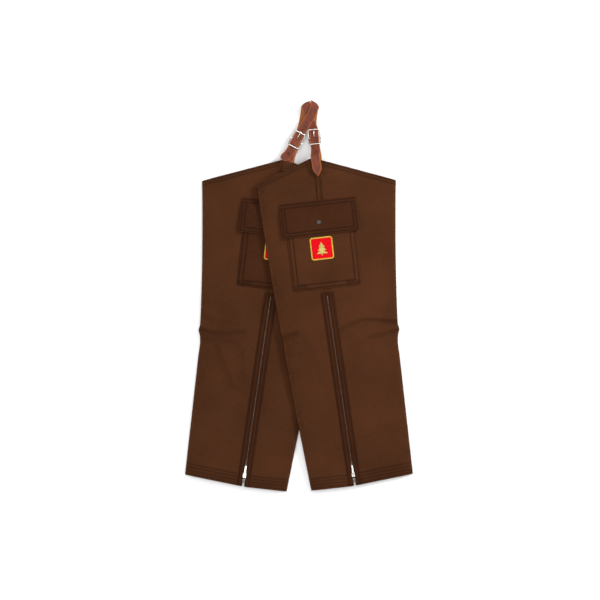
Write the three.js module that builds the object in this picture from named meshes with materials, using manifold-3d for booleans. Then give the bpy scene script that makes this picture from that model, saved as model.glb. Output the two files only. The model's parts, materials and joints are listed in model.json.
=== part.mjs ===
// Chainsaw chaps laid out flat: two full-wrap canvas legs joined at the waist by two crossed
// leather collar straps. The legs are mirror images. The left one lies on the ground and the
// right one lies half over it. Millimetres, +Z up, waist towards +Y, hems towards -Y.
import * as THREE from 'three';
import { mergeVertices } from 'three/addons/utils/BufferGeometryUtils.js';
import Module from 'manifold-3d';

const wasm = await Module();
wasm.setup();

// Leg outline: U runs down the leg from the apex, V runs across it, positive to the front panel
const LEG_LENGTH = 940;
const APEX_V = -12;
const REAR_TOP_SLOPE = 0.345;
const FRONT_TOP_SLOPE = 0.385;
const HEM_RISE = 0.09;
const REAR_TOP = 177;
const REAR_HEM = 120;
const FRONT_TOP = 218;
const FRONT_HEM = 173;
const FRONT_TAPER = 0.62;

// Layers of the flattened tube, from the outside in
const GAP = 0.3;
const LEG_HEIGHT = 18;
const CANVAS = 1.2;
const PAD = 3;
const LINER = 0.6;
const PAD_DEPTH = CANVAS + GAP;
const LINER_DEPTH = PAD_DEPTH + PAD + GAP;
const FACING_THICKNESS = 0.8;
const FACING_WIDTH = 38;
const PAD_INSET = 19;

// Zip: the seam runs from the apex to ZIP_TOP, the zip from there to the hem
const ZIP_TOP = 387;
const ZIP_TOP_V = -13.4;
const ZIP_LEAN = 0.0334;
const ZIP_WINDOW = 8;
const TAPE_INNER = 5.2;
const TAPE_OUTER = 15;
const TAPE_THICKNESS = 0.8;
const CHAIN_HALF = 2.2;
const CHAIN_LOW = 14.6;
const CHAIN_HIGH = 17;
const CHAIN_START = 400;
const CHAIN_END = 917;
const SLIDER_U = 907;
const SLIDER_LENGTH = 14;
const SLIDER_HALF = 4.6;
const SLIDER_WALL = 0.8;
const SLIDER_ROOF = 0.7;
const LIP_INNER = 2.5;
const LIP_OUTER = 16;
const PULL_LENGTH = 26;
const PULL_THICKNESS = 1.2;
const PULL_BACK = 0.6;
const LUG_HALF = 0.6;
const LUG_REACH = 2;
const LUG_ROOT = 0.2;
const LUG_HEIGHT = 2.2;

// Bellows pocket, its flap, patch and snap
const POCKET = { rear: -108, front: 87, mouth: 160, bottom: 372 };
const POCKET_DEPTH = 5;
const FLAP = { rear: -120, front: 98, top: 122.5, bottom: 219 };
const FLAP_THICKNESS = 1.6;
const FLAP_RISE = 30;
const PATCH = { centreU: 258, centreV: -13.5, side: 61, corner: 7, thickness: 1.2 };
const SNAP_U = 183.5;
const SNAP_V = -13.4;
const SNAP_RADIUS = 7;
const STUD_BASE = 0.5;
const SOCKET_HEIGHT = 1.8;

// Where each leg lies: the apex and the turn of the axis away from -Y
const LEFT_APEX = new THREE.Vector2(-46.9, 395);
const LEFT_TURN = THREE.MathUtils.degToRad(-6.4);
const RIGHT_APEX = new THREE.Vector2(52.4, 397.5);
const RIGHT_TURN = THREE.MathUtils.degToRad(6.4);

// The right leg is raised where the left one is under it and slopes down to the ground
const RAISE = 32;
const REAR_RAISE_LOW = 20;
const REAR_RAISE_HEM = 3;
const REAR_KNEE = 0.8;
const RIDGE_OFFSET = 28;
const GROUND_MARGIN = 12;

// Collar straps and buckles
const STRAP_WIDTH = 26;
const STRAP_THICKNESS = 2.6;
const CHAPE_WIDTH = 24;
const CHAPE_THICKNESS = 2;
const BAR_RADIUS = 1.8;
const BUCKLE_HALF_LENGTH = 22;
const BUCKLE_HALF_WIDTH = 16.2;
const BAR_RISE = 10.2;
const STRAP_OVER_BAR = 5.8;
const TONGUE_WIDTH = 4;
const TONGUE_EYE_WALL = 1.3;
const LEFT_TUNNEL_V = -18.6;
const RIGHT_TUNNEL_V = -5;
const TUNNEL_HEIGHT = 2 * CHAPE_THICKNESS + 8 * GAP;

// Colours
const CANVAS_BROWN = 0x583420;
const DARK_CANVAS = 0x422416;
const LEATHER = 0x8c4229;
const NICKEL = 0xc8c8be;

const legTop = LEG_HEIGHT;
const pocketLow = legTop + GAP + POCKET_DEPTH + GAP;
const pocketHigh = pocketLow + CANVAS;
const studLow = pocketHigh + GAP;
const socketLow = studLow + STUD_BASE + GAP;
const flapLow = socketLow + SOCKET_HEIGHT + GAP;
const flapHigh = flapLow + FLAP_THICKNESS;

// ---- Leg outline ----

function topLine(v) {
  const slope = v < APEX_V ? REAR_TOP_SLOPE : FRONT_TOP_SLOPE;
  return slope * Math.abs(v - APEX_V);
}

function hemLine(v) {
  return LEG_LENGTH - HEM_RISE * Math.max(0, v);
}

function downLeg(v, f) {
  return THREE.MathUtils.lerp(topLine(v), hemLine(v), f);
}

function fractionAt(u, v) {
  return (u - topLine(v)) / (hemLine(v) - topLine(v));
}

function frontEdge(f) {
  return FRONT_HEM + (FRONT_TOP - FRONT_HEM) * Math.max(0, 1 - f / FRONT_TAPER) ** 1.4;
}

function rearEdge(f) {
  return -REAR_TOP + (REAR_TOP - REAR_HEM) * Math.max(0, f) ** 1.4;
}

// The seam leans to the rear as far as the zip top, and the zip leans back to the front
function seamLine(u) {
  return u < ZIP_TOP ? (ZIP_TOP_V * u) / ZIP_TOP : ZIP_TOP_V + ZIP_LEAN * (u - ZIP_TOP);
}

function ridgeLine(f) {
  return seamLine(LEG_LENGTH * f) + RIDGE_OFFSET;
}

// Height of the raised leg above the ground, linear along the zip so that the slider runs true
function raise(u, v) {
  const f = THREE.MathUtils.clamp(fractionAt(u, v), 0, 1);
  const zipTop = ZIP_TOP / LEG_LENGTH;
  const along = f < zipTop ? RAISE : (RAISE * (1 - f)) / (1 - zipTop);
  const seam = seamLine(LEG_LENGTH * f);
  const ridge = ridgeLine(f);
  if (v > ridge) {
    const foot = frontEdge(f) - GROUND_MARGIN;
    return along * THREE.MathUtils.clamp((foot - v) / (foot - ridge), 0, 1);
  }
  if (v > seam || f < zipTop) {
    return along;
  }
  const rear = f < REAR_KNEE
    ? THREE.MathUtils.mapLinear(f, zipTop, REAR_KNEE, RAISE, REAR_RAISE_LOW)
    : THREE.MathUtils.mapLinear(f, REAR_KNEE, 1, REAR_RAISE_LOW, REAR_RAISE_HEM);
  const across = THREE.MathUtils.clamp((seam - v) / (seam - rearEdge(f)), 0, 1);
  return THREE.MathUtils.lerp(along, rear, across);
}

// ---- Solids ----

// A closed geometry with its faces pointing out
function closedSolid(points, triangles) {
  let volume = 0;
  for (let k = 0; k < triangles.length; k += 3) {
    const [a, b, c] = [0, 1, 2].map((n) => points[triangles[k + n]]);
    volume += a.dot(b.clone().cross(c));
  }
  if (volume < 0) {
    triangles.reverse();
  }
  const geometry = new THREE.BufferGeometry();
  const numbers = points.flatMap((point) => point.toArray());
  geometry.setAttribute('position', new THREE.Float32BufferAttribute(numbers, 3));
  geometry.setIndex(triangles);
  return geometry;
}

// A sheet with thickness between two grids of points of the same size
function sheetSolid(under, over) {
  const rows = under.length;
  const columns = under[0].length;
  const upper = rows * columns;
  const triangles = [];
  const quad = (a, b, c, d) => triangles.push(a, b, c, a, c, d);
  for (let i = 0; i < rows - 1; i++) {
    for (let j = 0; j < columns - 1; j++) {
      const a = i * columns + j;
      const d = a + columns;
      quad(a, a + 1, d + 1, d);
      quad(upper + a, upper + d, upper + d + 1, upper + a + 1);
    }
  }
  const rim = [];
  for (let j = 0; j < columns; j++) {
    rim.push(j);
  }
  for (let i = 1; i < rows; i++) {
    rim.push(i * columns + columns - 1);
  }
  for (let j = columns - 2; j >= 0; j--) {
    rim.push((rows - 1) * columns + j);
  }
  for (let i = rows - 2; i > 0; i--) {
    rim.push(i * columns);
  }
  rim.forEach((a, k) => {
    const b = rim[(k + 1) % rim.length];
    quad(b, a, upper + a, upper + b);
  });
  return closedSolid([...under.flat(), ...over.flat()], triangles);
}

// A flat-sided solid standing on an outline
function prism(shape, low, high, curveSegments = 8) {
  const options = { depth: high - low, bevelEnabled: false, curveSegments };
  return new THREE.ExtrudeGeometry(shape, options).translate(0, 0, low);
}

function rectangle(x0, x1, y0, y1) {
  const corners = [[x0, y0], [x1, y0], [x1, y1], [x0, y1]];
  return new THREE.Shape(corners.map(([x, y]) => new THREE.Vector2(x, y)));
}

function roundedSquare(half, radius) {
  const shape = new THREE.Shape();
  const inner = half - radius;
  shape.absarc(inner, inner, radius, 0, Math.PI / 2);
  shape.absarc(-inner, inner, radius, Math.PI / 2, Math.PI);
  shape.absarc(-inner, -inner, radius, Math.PI, Math.PI * 1.5);
  shape.absarc(inner, -inner, radius, Math.PI * 1.5, Math.PI * 2);
  return shape;
}

function disc(radius, hole = 0) {
  const shape = new THREE.Shape().absarc(0, 0, radius, 0, Math.PI * 2);
  if (hole > 0) {
    shape.holes.push(new THREE.Path().absarc(0, 0, hole, 0, Math.PI * 2));
  }
  return shape;
}

function toManifold(geometry) {
  const bare = geometry.clone();
  bare.deleteAttribute('normal');
  bare.deleteAttribute('uv');
  const merged = mergeVertices(bare, 1e-4);
  const mesh = new wasm.Mesh({
    numProp: 3,
    vertProperties: merged.attributes.position.array,
    triVerts: new Uint32Array(merged.index.array),
  });
  return new wasm.Manifold(mesh);
}

function fromManifold(manifold) {
  const mesh = manifold.getMesh();
  const geometry = new THREE.BufferGeometry();
  geometry.setAttribute('position', new THREE.BufferAttribute(mesh.vertProperties, 3));
  geometry.setIndex(new THREE.BufferAttribute(mesh.triVerts, 1));
  return geometry;
}

function cut(geometry, tool) {
  return fromManifold(toManifold(geometry).subtract(toManifold(tool)));
}

function join(first, ...others) {
  const sum = others.reduce((body, other) => body.add(toManifold(other)), toManifold(first));
  return fromManifold(sum);
}

// ---- Tube of the leg ----

// Stations round one half of the tube, from the zip over the side fold to the inseam below.
// Each gives the place across the leg and the height, depth being the distance inside the canvas.
function halfTube(side, f, depth, topInset, bottomInset) {
  const seam = seamLine(LEG_LENGTH * f);
  const radius = LEG_HEIGHT / 2;
  const centre = side > 0 ? frontEdge(f) - radius : rearEdge(f) + radius;
  const ridge = ridgeLine(f);
  const between = (t) => THREE.MathUtils.lerp(side > 0 ? ridge : seam - RIDGE_OFFSET, centre, t);
  const flat = side > 0 ? [between(0), between(0.33), between(0.66)] : [between(0), between(0.5)];
  const stations = [[seam + side * topInset, LEG_HEIGHT - depth]];
  flat.forEach((v) => stations.push([v, LEG_HEIGHT - depth]));
  for (let k = 0; k <= 4; k++) {
    const angle = Math.PI / 2 - (k * Math.PI) / 4;
    const reach = radius - depth;
    stations.push([centre + side * reach * Math.cos(angle), radius + reach * Math.sin(angle)]);
  }
  flat.reverse().forEach((v) => stations.push([v, depth]));
  stations.push([seam + side * bottomInset, depth]);
  return stations;
}

// Stations round the whole tube, from one side of the zip to the other
function wholeTube(f, depth, inset) {
  const front = halfTube(1, f, depth, inset, 1);
  const rear = halfTube(-1, f, depth, inset, 1).reverse();
  return [...front, ...rear];
}

// A layer of the tube between two depths, with the rows given down the leg
function layer(rows, outerDepth, innerDepth, stationsAt) {
  const grid = (depth) => rows.map((f) => stationsAt(f, depth).map(([v, z]) => onLeg(downLeg(v, f), v, z)));
  return sheetSolid(grid(innerDepth), grid(outerDepth));
}

function onLeg(u, v, z) {
  return new THREE.Vector3(v, -u, z);
}

const zipTopFraction = ZIP_TOP / LEG_LENGTH;
const zipOpenFraction = zipTopFraction + 0.012;
const hemFacingFraction = 1 - FACING_WIDTH / LEG_LENGTH;
const LOWER_ROWS = [zipOpenFraction, 0.55, 0.675, REAR_KNEE, 0.88, hemFacingFraction, 1];
const PANEL_ROWS = [0, 0.06, 0.15, 0.27, 0.36, zipTopFraction - 0.012, zipTopFraction, ...LOWER_ROWS];

function windowInset(f) {
  return f > zipTopFraction ? ZIP_WINDOW : GAP / 2;
}

function panel(side) {
  return layer(PANEL_ROWS, 0, CANVAS, (f, depth) => halfTube(side, f, depth, windowInset(f), GAP / 2));
}

function cutPad() {
  const rows = PANEL_ROWS.filter((f) => f >= 0.06 && f <= 0.88);
  const inset = PAD_INSET;
  return layer(rows, PAD_DEPTH, PAD_DEPTH + PAD, (f, depth) => halfTube(1, f, depth, inset, 2));
}

function liner() {
  return layer(PANEL_ROWS, LINER_DEPTH, LINER_DEPTH + LINER, (f, depth) => wholeTube(f, depth, LIP_OUTER));
}

function facing(rows) {
  const inner = PAD_DEPTH + FACING_THICKNESS;
  return layer(rows, PAD_DEPTH, inner, (f, depth) => wholeTube(f, depth, LIP_OUTER));
}

// ---- Zip ----

// Flat zip parts are drawn about their own centre line and then laid along the zip
function alongZip(geometry) {
  const position = geometry.attributes.position;
  for (let k = 0; k < position.count; k++) {
    position.setX(k, position.getX(k) + seamLine(-position.getY(k)));
  }
  return geometry;
}

function zipBar(inner, outer, start, end, low, high) {
  return alongZip(prism(rectangle(inner, outer, -end, -start), low, high));
}

// A strip beside the zip with a row at each break of the tube's rows
function zipStrip(side, inner, outer, low, high) {
  const rows = [zipOpenFraction + 0.004, 0.55, 0.675, REAR_KNEE, 0.9, 0.998];
  const grid = (z) => rows.map((f) => [inner, outer].map((offset) => {
    const u = LEG_LENGTH * f;
    const v = seamLine(u) + side * offset;
    return onLeg(downLeg(v, f), v, z);
  }));
  return sheetSolid(grid(low), grid(high));
}

function slider() {
  const low = CHAIN_LOW - GAP - SLIDER_WALL;
  const high = CHAIN_HIGH + GAP + SLIDER_ROOF;
  const body = rectangle(-SLIDER_HALF, SLIDER_HALF, low, high);
  const bore = rectangle(-CHAIN_HALF - GAP, CHAIN_HALF + GAP, CHAIN_LOW - GAP, CHAIN_HIGH + GAP);
  body.holes.push(new THREE.Path(bore.getPoints()));
  const tube = new THREE.ExtrudeGeometry(body, { depth: SLIDER_LENGTH, bevelEnabled: false });
  tube.rotateX(Math.PI / 2).translate(0, -SLIDER_U + SLIDER_LENGTH / 2, 0);
  const foot = rectangle(-LUG_HALF, LUG_HALF, -SLIDER_U - LUG_REACH, -SLIDER_U + LUG_REACH);
  const lug = prism(foot, high - LUG_ROOT, high + LUG_HEIGHT);
  return alongZip(join(tube, lug));
}

// A forked tab that straddles the slider's lug and lies up the zip
function pull() {
  const half = LIP_INNER - 2 * GAP;
  const slot = LUG_HALF + GAP;
  const reach = PULL_LENGTH;
  const crotch = LUG_REACH + 2 * GAP;
  const outline = [
    [-half, -PULL_BACK], [-slot, -PULL_BACK], [-slot, crotch],
    [slot, crotch], [slot, -PULL_BACK], [half, -PULL_BACK],
    [half, reach - 1.5], [0.8, reach], [-0.8, reach], [-half, reach - 1.5],
  ];
  const low = CHAIN_HIGH + GAP + SLIDER_ROOF + GAP;
  const shape = new THREE.Shape(outline.map(([x, y]) => new THREE.Vector2(x, y)));
  const tab = prism(shape, low, low + PULL_THICKNESS);
  return alongZip(tab.translate(0, -SLIDER_U, 0));
}

// ---- Pocket ----

// Columns across the pocket and its flap, with one on the ridge of the raised leg
function acrossPocket(u, rear, front) {
  const ridge = ridgeLine(fractionAt(u, 0));
  return [rear, rear / 2, seamLine(u), ridge, (ridge + front) / 2, front];
}

function pocketFront() {
  const rows = [POCKET.mouth, 230, 300, POCKET.bottom];
  const grid = (z) => rows.map((u) => (
    acrossPocket(u, POCKET.rear, POCKET.front).map((v) => onLeg(u, v, z))
  ));
  return sheetSolid(grid(pocketLow), grid(pocketHigh));
}

// The bellows: a strip standing round the two sides and the bottom, open at the mouth
function pocketGusset() {
  const wall = (inset) => {
    const rear = POCKET.rear + 2 + inset;
    const front = POCKET.front - 2 - inset;
    const bottom = POCKET.bottom - 2 - inset;
    const across = acrossPocket(bottom, rear, front);
    const rows = [POCKET.mouth, 230, 300];
    const down = rows.map((u) => [u, rear]);
    const up = rows.toReversed().map((u) => [u, front]);
    return [...down, ...across.map((v) => [bottom, v]), ...up];
  };
  const grid = (inset) => [legTop + GAP, legTop + GAP + POCKET_DEPTH].map((z) => (
    wall(inset).map(([u, v]) => onLeg(u, v, z))
  ));
  return sheetSolid(grid(CANVAS), grid(0));
}

// The flap is sewn down along its top and rises over the mouth of the pocket
function pocketFlap() {
  const sewn = legTop + GAP;
  const profile = [
    [FLAP.top, sewn], [FLAP.top + FLAP_RISE / 2, (sewn + flapLow) / 2 + 1],
    [FLAP.top + FLAP_RISE, flapLow], [185, flapLow], [FLAP.bottom, flapLow],
  ];
  const grid = (lift) => profile.map(([u, z]) => (
    acrossPocket(u, FLAP.rear, FLAP.front).map((v) => onLeg(u, v, z + lift))
  ));
  return sheetSolid(grid(0), grid(FLAP_THICKNESS));
}

function patch() {
  const low = pocketHigh + GAP;
  const square = prism(roundedSquare(PATCH.side / 2, PATCH.corner), low, low + PATCH.thickness, 3);
  return square.translate(PATCH.centreV, -PATCH.centreU, 0);
}

// ---- Snap ----

function atSnap(geometry) {
  return geometry.translate(SNAP_V, -SNAP_U, 0);
}

function snapCap() {
  const profile = [[0, 0], [SNAP_RADIUS, 0], [SNAP_RADIUS, 0.5], [SNAP_RADIUS * 0.7, 1], [0, 1.2]];
  const cap = new THREE.LatheGeometry(profile.map(([r, z]) => new THREE.Vector2(r, z)), 20);
  return atSnap(cap.rotateX(Math.PI / 2).translate(0, 0, flapHigh + GAP));
}

function snapSocket() {
  return atSnap(prism(disc(6, 2.8), socketLow, socketLow + SOCKET_HEIGHT));
}

function snapStud() {
  const base = prism(disc(6), studLow, studLow + STUD_BASE);
  const boss = prism(disc(2.4), studLow + STUD_BASE / 2, socketLow + SOCKET_HEIGHT - GAP);
  return atSnap(join(base, boss));
}

// A canvas tab sewn over the end of the buckle chape at the apex
function strapTunnel(centre) {
  const low = legTop + GAP;
  const high = low + TUNNEL_HEIGHT;
  const section = [[-22, low], [-15.5, low], [-14, high], [14, high], [15.5, low], [22, low]];
  const grid = (lift) => [6, 32].map((u) => section.map(([v, z]) => (
    onLeg(u + topLine(v + centre), v + centre, z + lift)
  )));
  return sheetSolid(grid(0), grid(CANVAS));
}

// ---- Buckles and straps ----

// Frame of a buckle: the middle bar is its X axis, the strap runs along Y, the lobe is at +Y
function buckleSeat(x, y, z, turn, pitch) {
  const seat = new THREE.Object3D();
  seat.rotation.set(THREE.MathUtils.degToRad(-pitch), 0, THREE.MathUtils.degToRad(turn), 'ZYX');
  seat.position.set(x, y, z);
  seat.updateMatrixWorld();
  return seat.matrixWorld;
}

const LEFT_SEAT = buckleSeat(-4, 448.6, 19.8, -28.7, 4);
const RIGHT_SEAT = buckleSeat(46.6, 453.7, 26.3, 5.7, 19);

function rod(from, to, radius, sides = 8) {
  const line = new THREE.Vector3().subVectors(to, from);
  const cylinder = new THREE.CylinderGeometry(radius, radius, line.length(), sides);
  const along = line.clone().normalize();
  const turn = new THREE.Quaternion().setFromUnitVectors(new THREE.Vector3(0, 1, 0), along);
  const middle = new THREE.Vector3().addVectors(from, to).multiplyScalar(0.5);
  return cylinder.applyQuaternion(turn).translate(middle.x, middle.y, middle.z);
}

// Double-bar frame, bowed so that its end bars pass over the strap and its middle bar under it
function buckleFrame() {
  const corner = (sx, sy) => new THREE.Vector3(sx * BUCKLE_HALF_WIDTH, sy * BUCKLE_HALF_LENGTH, BAR_RISE);
  const middle = (sx) => new THREE.Vector3(sx * BUCKLE_HALF_WIDTH, 0, 0);
  const pieces = [rod(middle(-1), middle(1), BAR_RADIUS)];
  for (const sy of [-1, 1]) {
    pieces.push(rod(corner(-1, sy), corner(1, sy), BAR_RADIUS));
    for (const sx of [-1, 1]) {
      pieces.push(rod(middle(sx), corner(sx, sy), BAR_RADIUS));
    }
  }
  for (const sx of [-1, 1]) {
    for (const end of [middle(sx), corner(sx, -1), corner(sx, 1)]) {
      pieces.push(new THREE.IcosahedronGeometry(BAR_RADIUS * 1.08, 1).translate(end.x, end.y, end.z));
    }
  }
  return join(...pieces);
}

// The tongue's side view: an eye round the middle bar and an arm up to rest on the lobe-end bar
function buckleTongue() {
  const eye = BAR_RADIUS + GAP;
  const rim = eye + TONGUE_EYE_WALL;
  const over = BAR_RISE + BAR_RADIUS + GAP;
  const tip = BUCKLE_HALF_LENGTH + BAR_RADIUS + 1;
  const outline = new THREE.Shape();
  outline.moveTo(rim * Math.cos(1.3), rim * Math.sin(1.3));
  outline.lineTo(9, over - 1.5);
  outline.lineTo(BUCKLE_HALF_LENGTH - 4, over + 2.2);
  outline.lineTo(tip, over + 1.8);
  outline.lineTo(tip, over);
  outline.lineTo(BUCKLE_HALF_LENGTH - 3, over);
  outline.lineTo(11, over - 3.6);
  outline.lineTo(rim * Math.cos(0.45), rim * Math.sin(0.45));
  outline.absarc(0, 0, rim, 0.45, 1.3 - 2 * Math.PI, true);
  outline.holes.push(new THREE.Path().absarc(0, 0, eye, 0, Math.PI * 2));
  const options = { depth: TONGUE_WIDTH, bevelEnabled: false, curveSegments: 8 };
  const side = new THREE.ExtrudeGeometry(outline, options).translate(0, 0, -TONGUE_WIDTH / 2);
  const upright = new THREE.Matrix4().makeBasis(
    new THREE.Vector3(0, 1, 0), new THREE.Vector3(0, 0, 1), new THREE.Vector3(1, 0, 0),
  );
  return side.applyMatrix4(upright);
}

// A flat strap through the stations given as [x, y, z, turn of its width in degrees]
function ribbon(stations, width, thickness, steps) {
  const centres = stations.map(([x, y, z]) => new THREE.Vector3(x, y, z));
  const curve = new THREE.CatmullRomCurve3(centres, false, 'centripetal');
  const turns = stations.map((station) => station[3]);
  const rows = [...Array(steps + 1).keys()].map((k) => {
    const t = k / steps;
    const place = t * (stations.length - 1);
    const index = Math.min(Math.floor(place), stations.length - 2);
    const blend = THREE.MathUtils.lerp(turns[index], turns[index + 1], place - index);
    const turn = THREE.MathUtils.degToRad(blend);
    const across = new THREE.Vector3(Math.cos(turn), Math.sin(turn), 0);
    const normal = new THREE.Vector3().crossVectors(across, curve.getTangent(t)).normalize();
    return { centre: curve.getPoint(t), across, normal };
  });
  const grid = (lift) => rows.map(({ centre, across, normal }) => [-1, 1].map((side) => (
    centre.clone().addScaledVector(across, (side * width) / 2).addScaledVector(normal, lift)
  )));
  return sheetSolid(grid(-thickness / 2), grid(thickness / 2));
}

function onSeat(seat, y, z, turn) {
  const point = new THREE.Vector3(0, y, z).applyMatrix4(seat);
  return [point.x, point.y, point.z, turn];
}

// The hole that the tongue comes up through
function tongueHole(seat, y, length) {
  const half = TONGUE_WIDTH / 2 + 1;
  const slot = prism(rectangle(-half, half, y, y + length), -8, 12);
  return slot.applyMatrix4(seat);
}

// Each collar strap runs from inside its own leg, under and over the lobe, into the other buckle
function leftStrap() {
  const stations = [
    [-24, 370, 9, -12], [-22, 398, 9, -12], [-10, 430, 2.5, -13], [10, 477, 1.6, -13], [20, 524, 1.6, -10],
    [21, 544, 3, 8], [19.8, 554.5, 10, 20], [21, 545, 16.5, 18], [30, 521, 17.4, 15], [37, 497, 17.8, 13],
    onSeat(RIGHT_SEAT, 22, STRAP_OVER_BAR, 7), onSeat(RIGHT_SEAT, 0, STRAP_OVER_BAR, 5.7),
    onSeat(RIGHT_SEAT, -22, STRAP_OVER_BAR, 5.7), onSeat(RIGHT_SEAT, -44, STRAP_OVER_BAR + 6, 5.7),
    [48.5, 403, 58, 5], [51, 388, 60.6, 5], [57, 345, 60.8, 4],
  ];
  return cut(ribbon(stations, STRAP_WIDTH, STRAP_THICKNESS, 60), tongueHole(RIGHT_SEAT, 0.5, 11));
}

function rightStrap() {
  const stations = [
    [55.5, 370, 41, 0], [54, 400, 41, 0], [49, 430, 27, 0], [42, 466, 8.5, 0], [40.5, 505, 5.2, -2],
    [45, 540, 6.2, -20], [51, 554.5, 14, -30], [48.5, 545, 22.4, -30], [40.5, 524, 24.2, -29],
    [24, 496, 25.4, -28],
    onSeat(LEFT_SEAT, 22, STRAP_OVER_BAR, -28.7), onSeat(LEFT_SEAT, 0, STRAP_OVER_BAR, -28.7),
    onSeat(LEFT_SEAT, -22, STRAP_OVER_BAR, -28.7), onSeat(LEFT_SEAT, -40, STRAP_OVER_BAR + 2, -29),
    [-33, 403, 27.5, -30], [-44, 391, 28, -31],
  ];
  return cut(ribbon(stations, STRAP_WIDTH, STRAP_THICKNESS, 60), tongueHole(LEFT_SEAT, 0.5, 11));
}

// A strip doubled round the middle bar, its two ends going down into the tunnel at the apex
function chape(seat, end, edge, turn) {
  const reach = BAR_RADIUS + GAP + CHAPE_THICKNESS / 2;
  const tilt = THREE.MathUtils.radToDeg(Math.atan2(seat.elements[1], seat.elements[0]));
  const ply = ([x, y, z], height) => [x, y, z + height, turn];
  const upper = CHAPE_THICKNESS + GAP;
  const side = reach * 0.7;
  const round = [
    [-24, -1.5], [-8, -reach], [0, -reach], [side, -side], [reach, 0],
    [side, side], [0, reach], [-8, reach - GAP], [-24, 1.5],
  ];
  const stations = [
    ply(end, 0), ply(edge, 0), ...round.map(([y, z]) => onSeat(seat, y, z, tilt)),
    ply(edge, upper), ply(end, upper),
  ];
  return cut(ribbon(stations, CHAPE_WIDTH, CHAPE_THICKNESS, 40), tongueHole(seat, -4.5, 14));
}

// ---- Assembly ----

const material = (color, roughness, metalness = 0) => () => (
  new THREE.MeshStandardMaterial({ color, roughness, metalness })
);
const canvasCloth = material(CANVAS_BROWN, 0.9);
const darkCloth = material(DARK_CANVAS, 0.9);
const padding = material(0xd9c9a0, 1);
const lining = material(0x2b211c, 0.8);
const tape = material(0x2a1a12, 0.9);
const leather = material(LEATHER, 0.6);
const nickel = material(NICKEL, 0.3, 1);
const gunmetal = material(0x3a3634, 0.4, 1);
const embroidery = material(0xd81420, 0.8);

const chaps = new THREE.Group();

function addPiece(group, name, geometry, cloth) {
  const mesh = new THREE.Mesh(geometry, cloth());
  mesh.name = name;
  group.add(mesh);
}

// A leg is built once for its front side at +X; the left one is its mirror image
function buildLeg(prefix, { apex, turn, raised, pocketCloth, tunnelV }) {
  const leg = new THREE.Group();
  leg.position.set(apex.x, apex.y, 0);
  leg.rotation.z = turn;
  leg.scale.x = raised ? 1 : -1;
  chaps.add(leg);
  const add = (name, geometry, cloth) => {
    if (raised) {
      const position = geometry.attributes.position;
      for (let k = 0; k < position.count; k++) {
        position.setZ(k, position.getZ(k) + raise(-position.getY(k), position.getX(k)));
      }
    }
    addPiece(leg, `${prefix}_${name}`, geometry, cloth);
  };
  const tapeLow = legTop - PAD_DEPTH - TAPE_THICKNESS;
  add('front_panel', panel(1), canvasCloth);
  add('rear_panel', panel(-1), canvasCloth);
  add('cut_pad', cutPad(), padding);
  add('liner', liner(), lining);
  add('top_facing', facing([0.001, FACING_WIDTH / LEG_LENGTH]), lining);
  add('hem_facing', facing([hemFacingFraction, 0.999]), lining);
  add('zip_tape_front', zipStrip(1, TAPE_INNER, TAPE_OUTER, tapeLow, tapeLow + TAPE_THICKNESS), tape);
  add('zip_tape_rear', zipStrip(-1, TAPE_INNER, TAPE_OUTER, tapeLow, tapeLow + TAPE_THICKNESS), tape);
  add('zip_chain', zipBar(-CHAIN_HALF, CHAIN_HALF, CHAIN_START, CHAIN_END, CHAIN_LOW, CHAIN_HIGH), nickel);
  add('zip_top_stop', zipBar(-4, 4, CHAIN_START - 4, CHAIN_START - GAP, CHAIN_LOW, CHAIN_HIGH), nickel);
  add('zip_bottom_stop', zipBar(-4, 4, CHAIN_END + GAP, CHAIN_END + 5, CHAIN_LOW, CHAIN_HIGH), nickel);
  add('zip_slider', slider(), nickel);
  add('zip_pull', pull(), nickel);
  add('lip_front', zipStrip(1, LIP_INNER, LIP_OUTER, legTop + GAP, legTop + GAP + CANVAS), canvasCloth);
  add('lip_rear', zipStrip(-1, LIP_INNER, LIP_OUTER, legTop + GAP, legTop + GAP + CANVAS), canvasCloth);
  add('pocket_front', pocketFront(), pocketCloth);
  add('pocket_gusset', pocketGusset(), darkCloth);
  add('pocket_flap', pocketFlap(), darkCloth);
  add('patch', patch(), embroidery);
  add('snap_cap', snapCap(), gunmetal);
  add('snap_socket', snapSocket(), gunmetal);
  add('snap_stud', snapStud(), gunmetal);
  add('strap_tunnel', strapTunnel(tunnelV), canvasCloth);
}

buildLeg('left', {
  apex: LEFT_APEX, turn: LEFT_TURN, raised: false, pocketCloth: darkCloth, tunnelV: LEFT_TUNNEL_V,
});
buildLeg('right', {
  apex: RIGHT_APEX, turn: RIGHT_TURN, raised: true, pocketCloth: canvasCloth, tunnelV: RIGHT_TUNNEL_V,
});

const chapeFloor = legTop + GAP + CHAPE_THICKNESS / 2 + GAP;
const leftChape = chape(LEFT_SEAT, [-30.5, 378, chapeFloor], [-24, 398, chapeFloor + 0.5], -14);
const rightFloor = chapeFloor + RAISE;
const rightChape = chape(RIGHT_SEAT, [49, 379, rightFloor], [48.5, 402, rightFloor + 0.8], 6);
for (const [prefix, seat, doubled, strap] of [
  ['left', LEFT_SEAT, leftChape, leftStrap()],
  ['right', RIGHT_SEAT, rightChape, rightStrap()],
]) {
  addPiece(chaps, `${prefix}_buckle_frame`, buckleFrame().applyMatrix4(seat), nickel);
  addPiece(chaps, `${prefix}_buckle_tongue`, buckleTongue().applyMatrix4(seat), nickel);
  addPiece(chaps, `${prefix}_buckle_chape`, doubled, leather);
  addPiece(chaps, `${prefix}_strap`, strap, leather);
}

// The origin is on the ground under the middle of the whole object
const extent = new THREE.Box3().setFromObject(chaps, true);
const middle = extent.getCenter(new THREE.Vector3());
chaps.position.set(-middle.x, -middle.y, -extent.min.z);

export default chaps;
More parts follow.
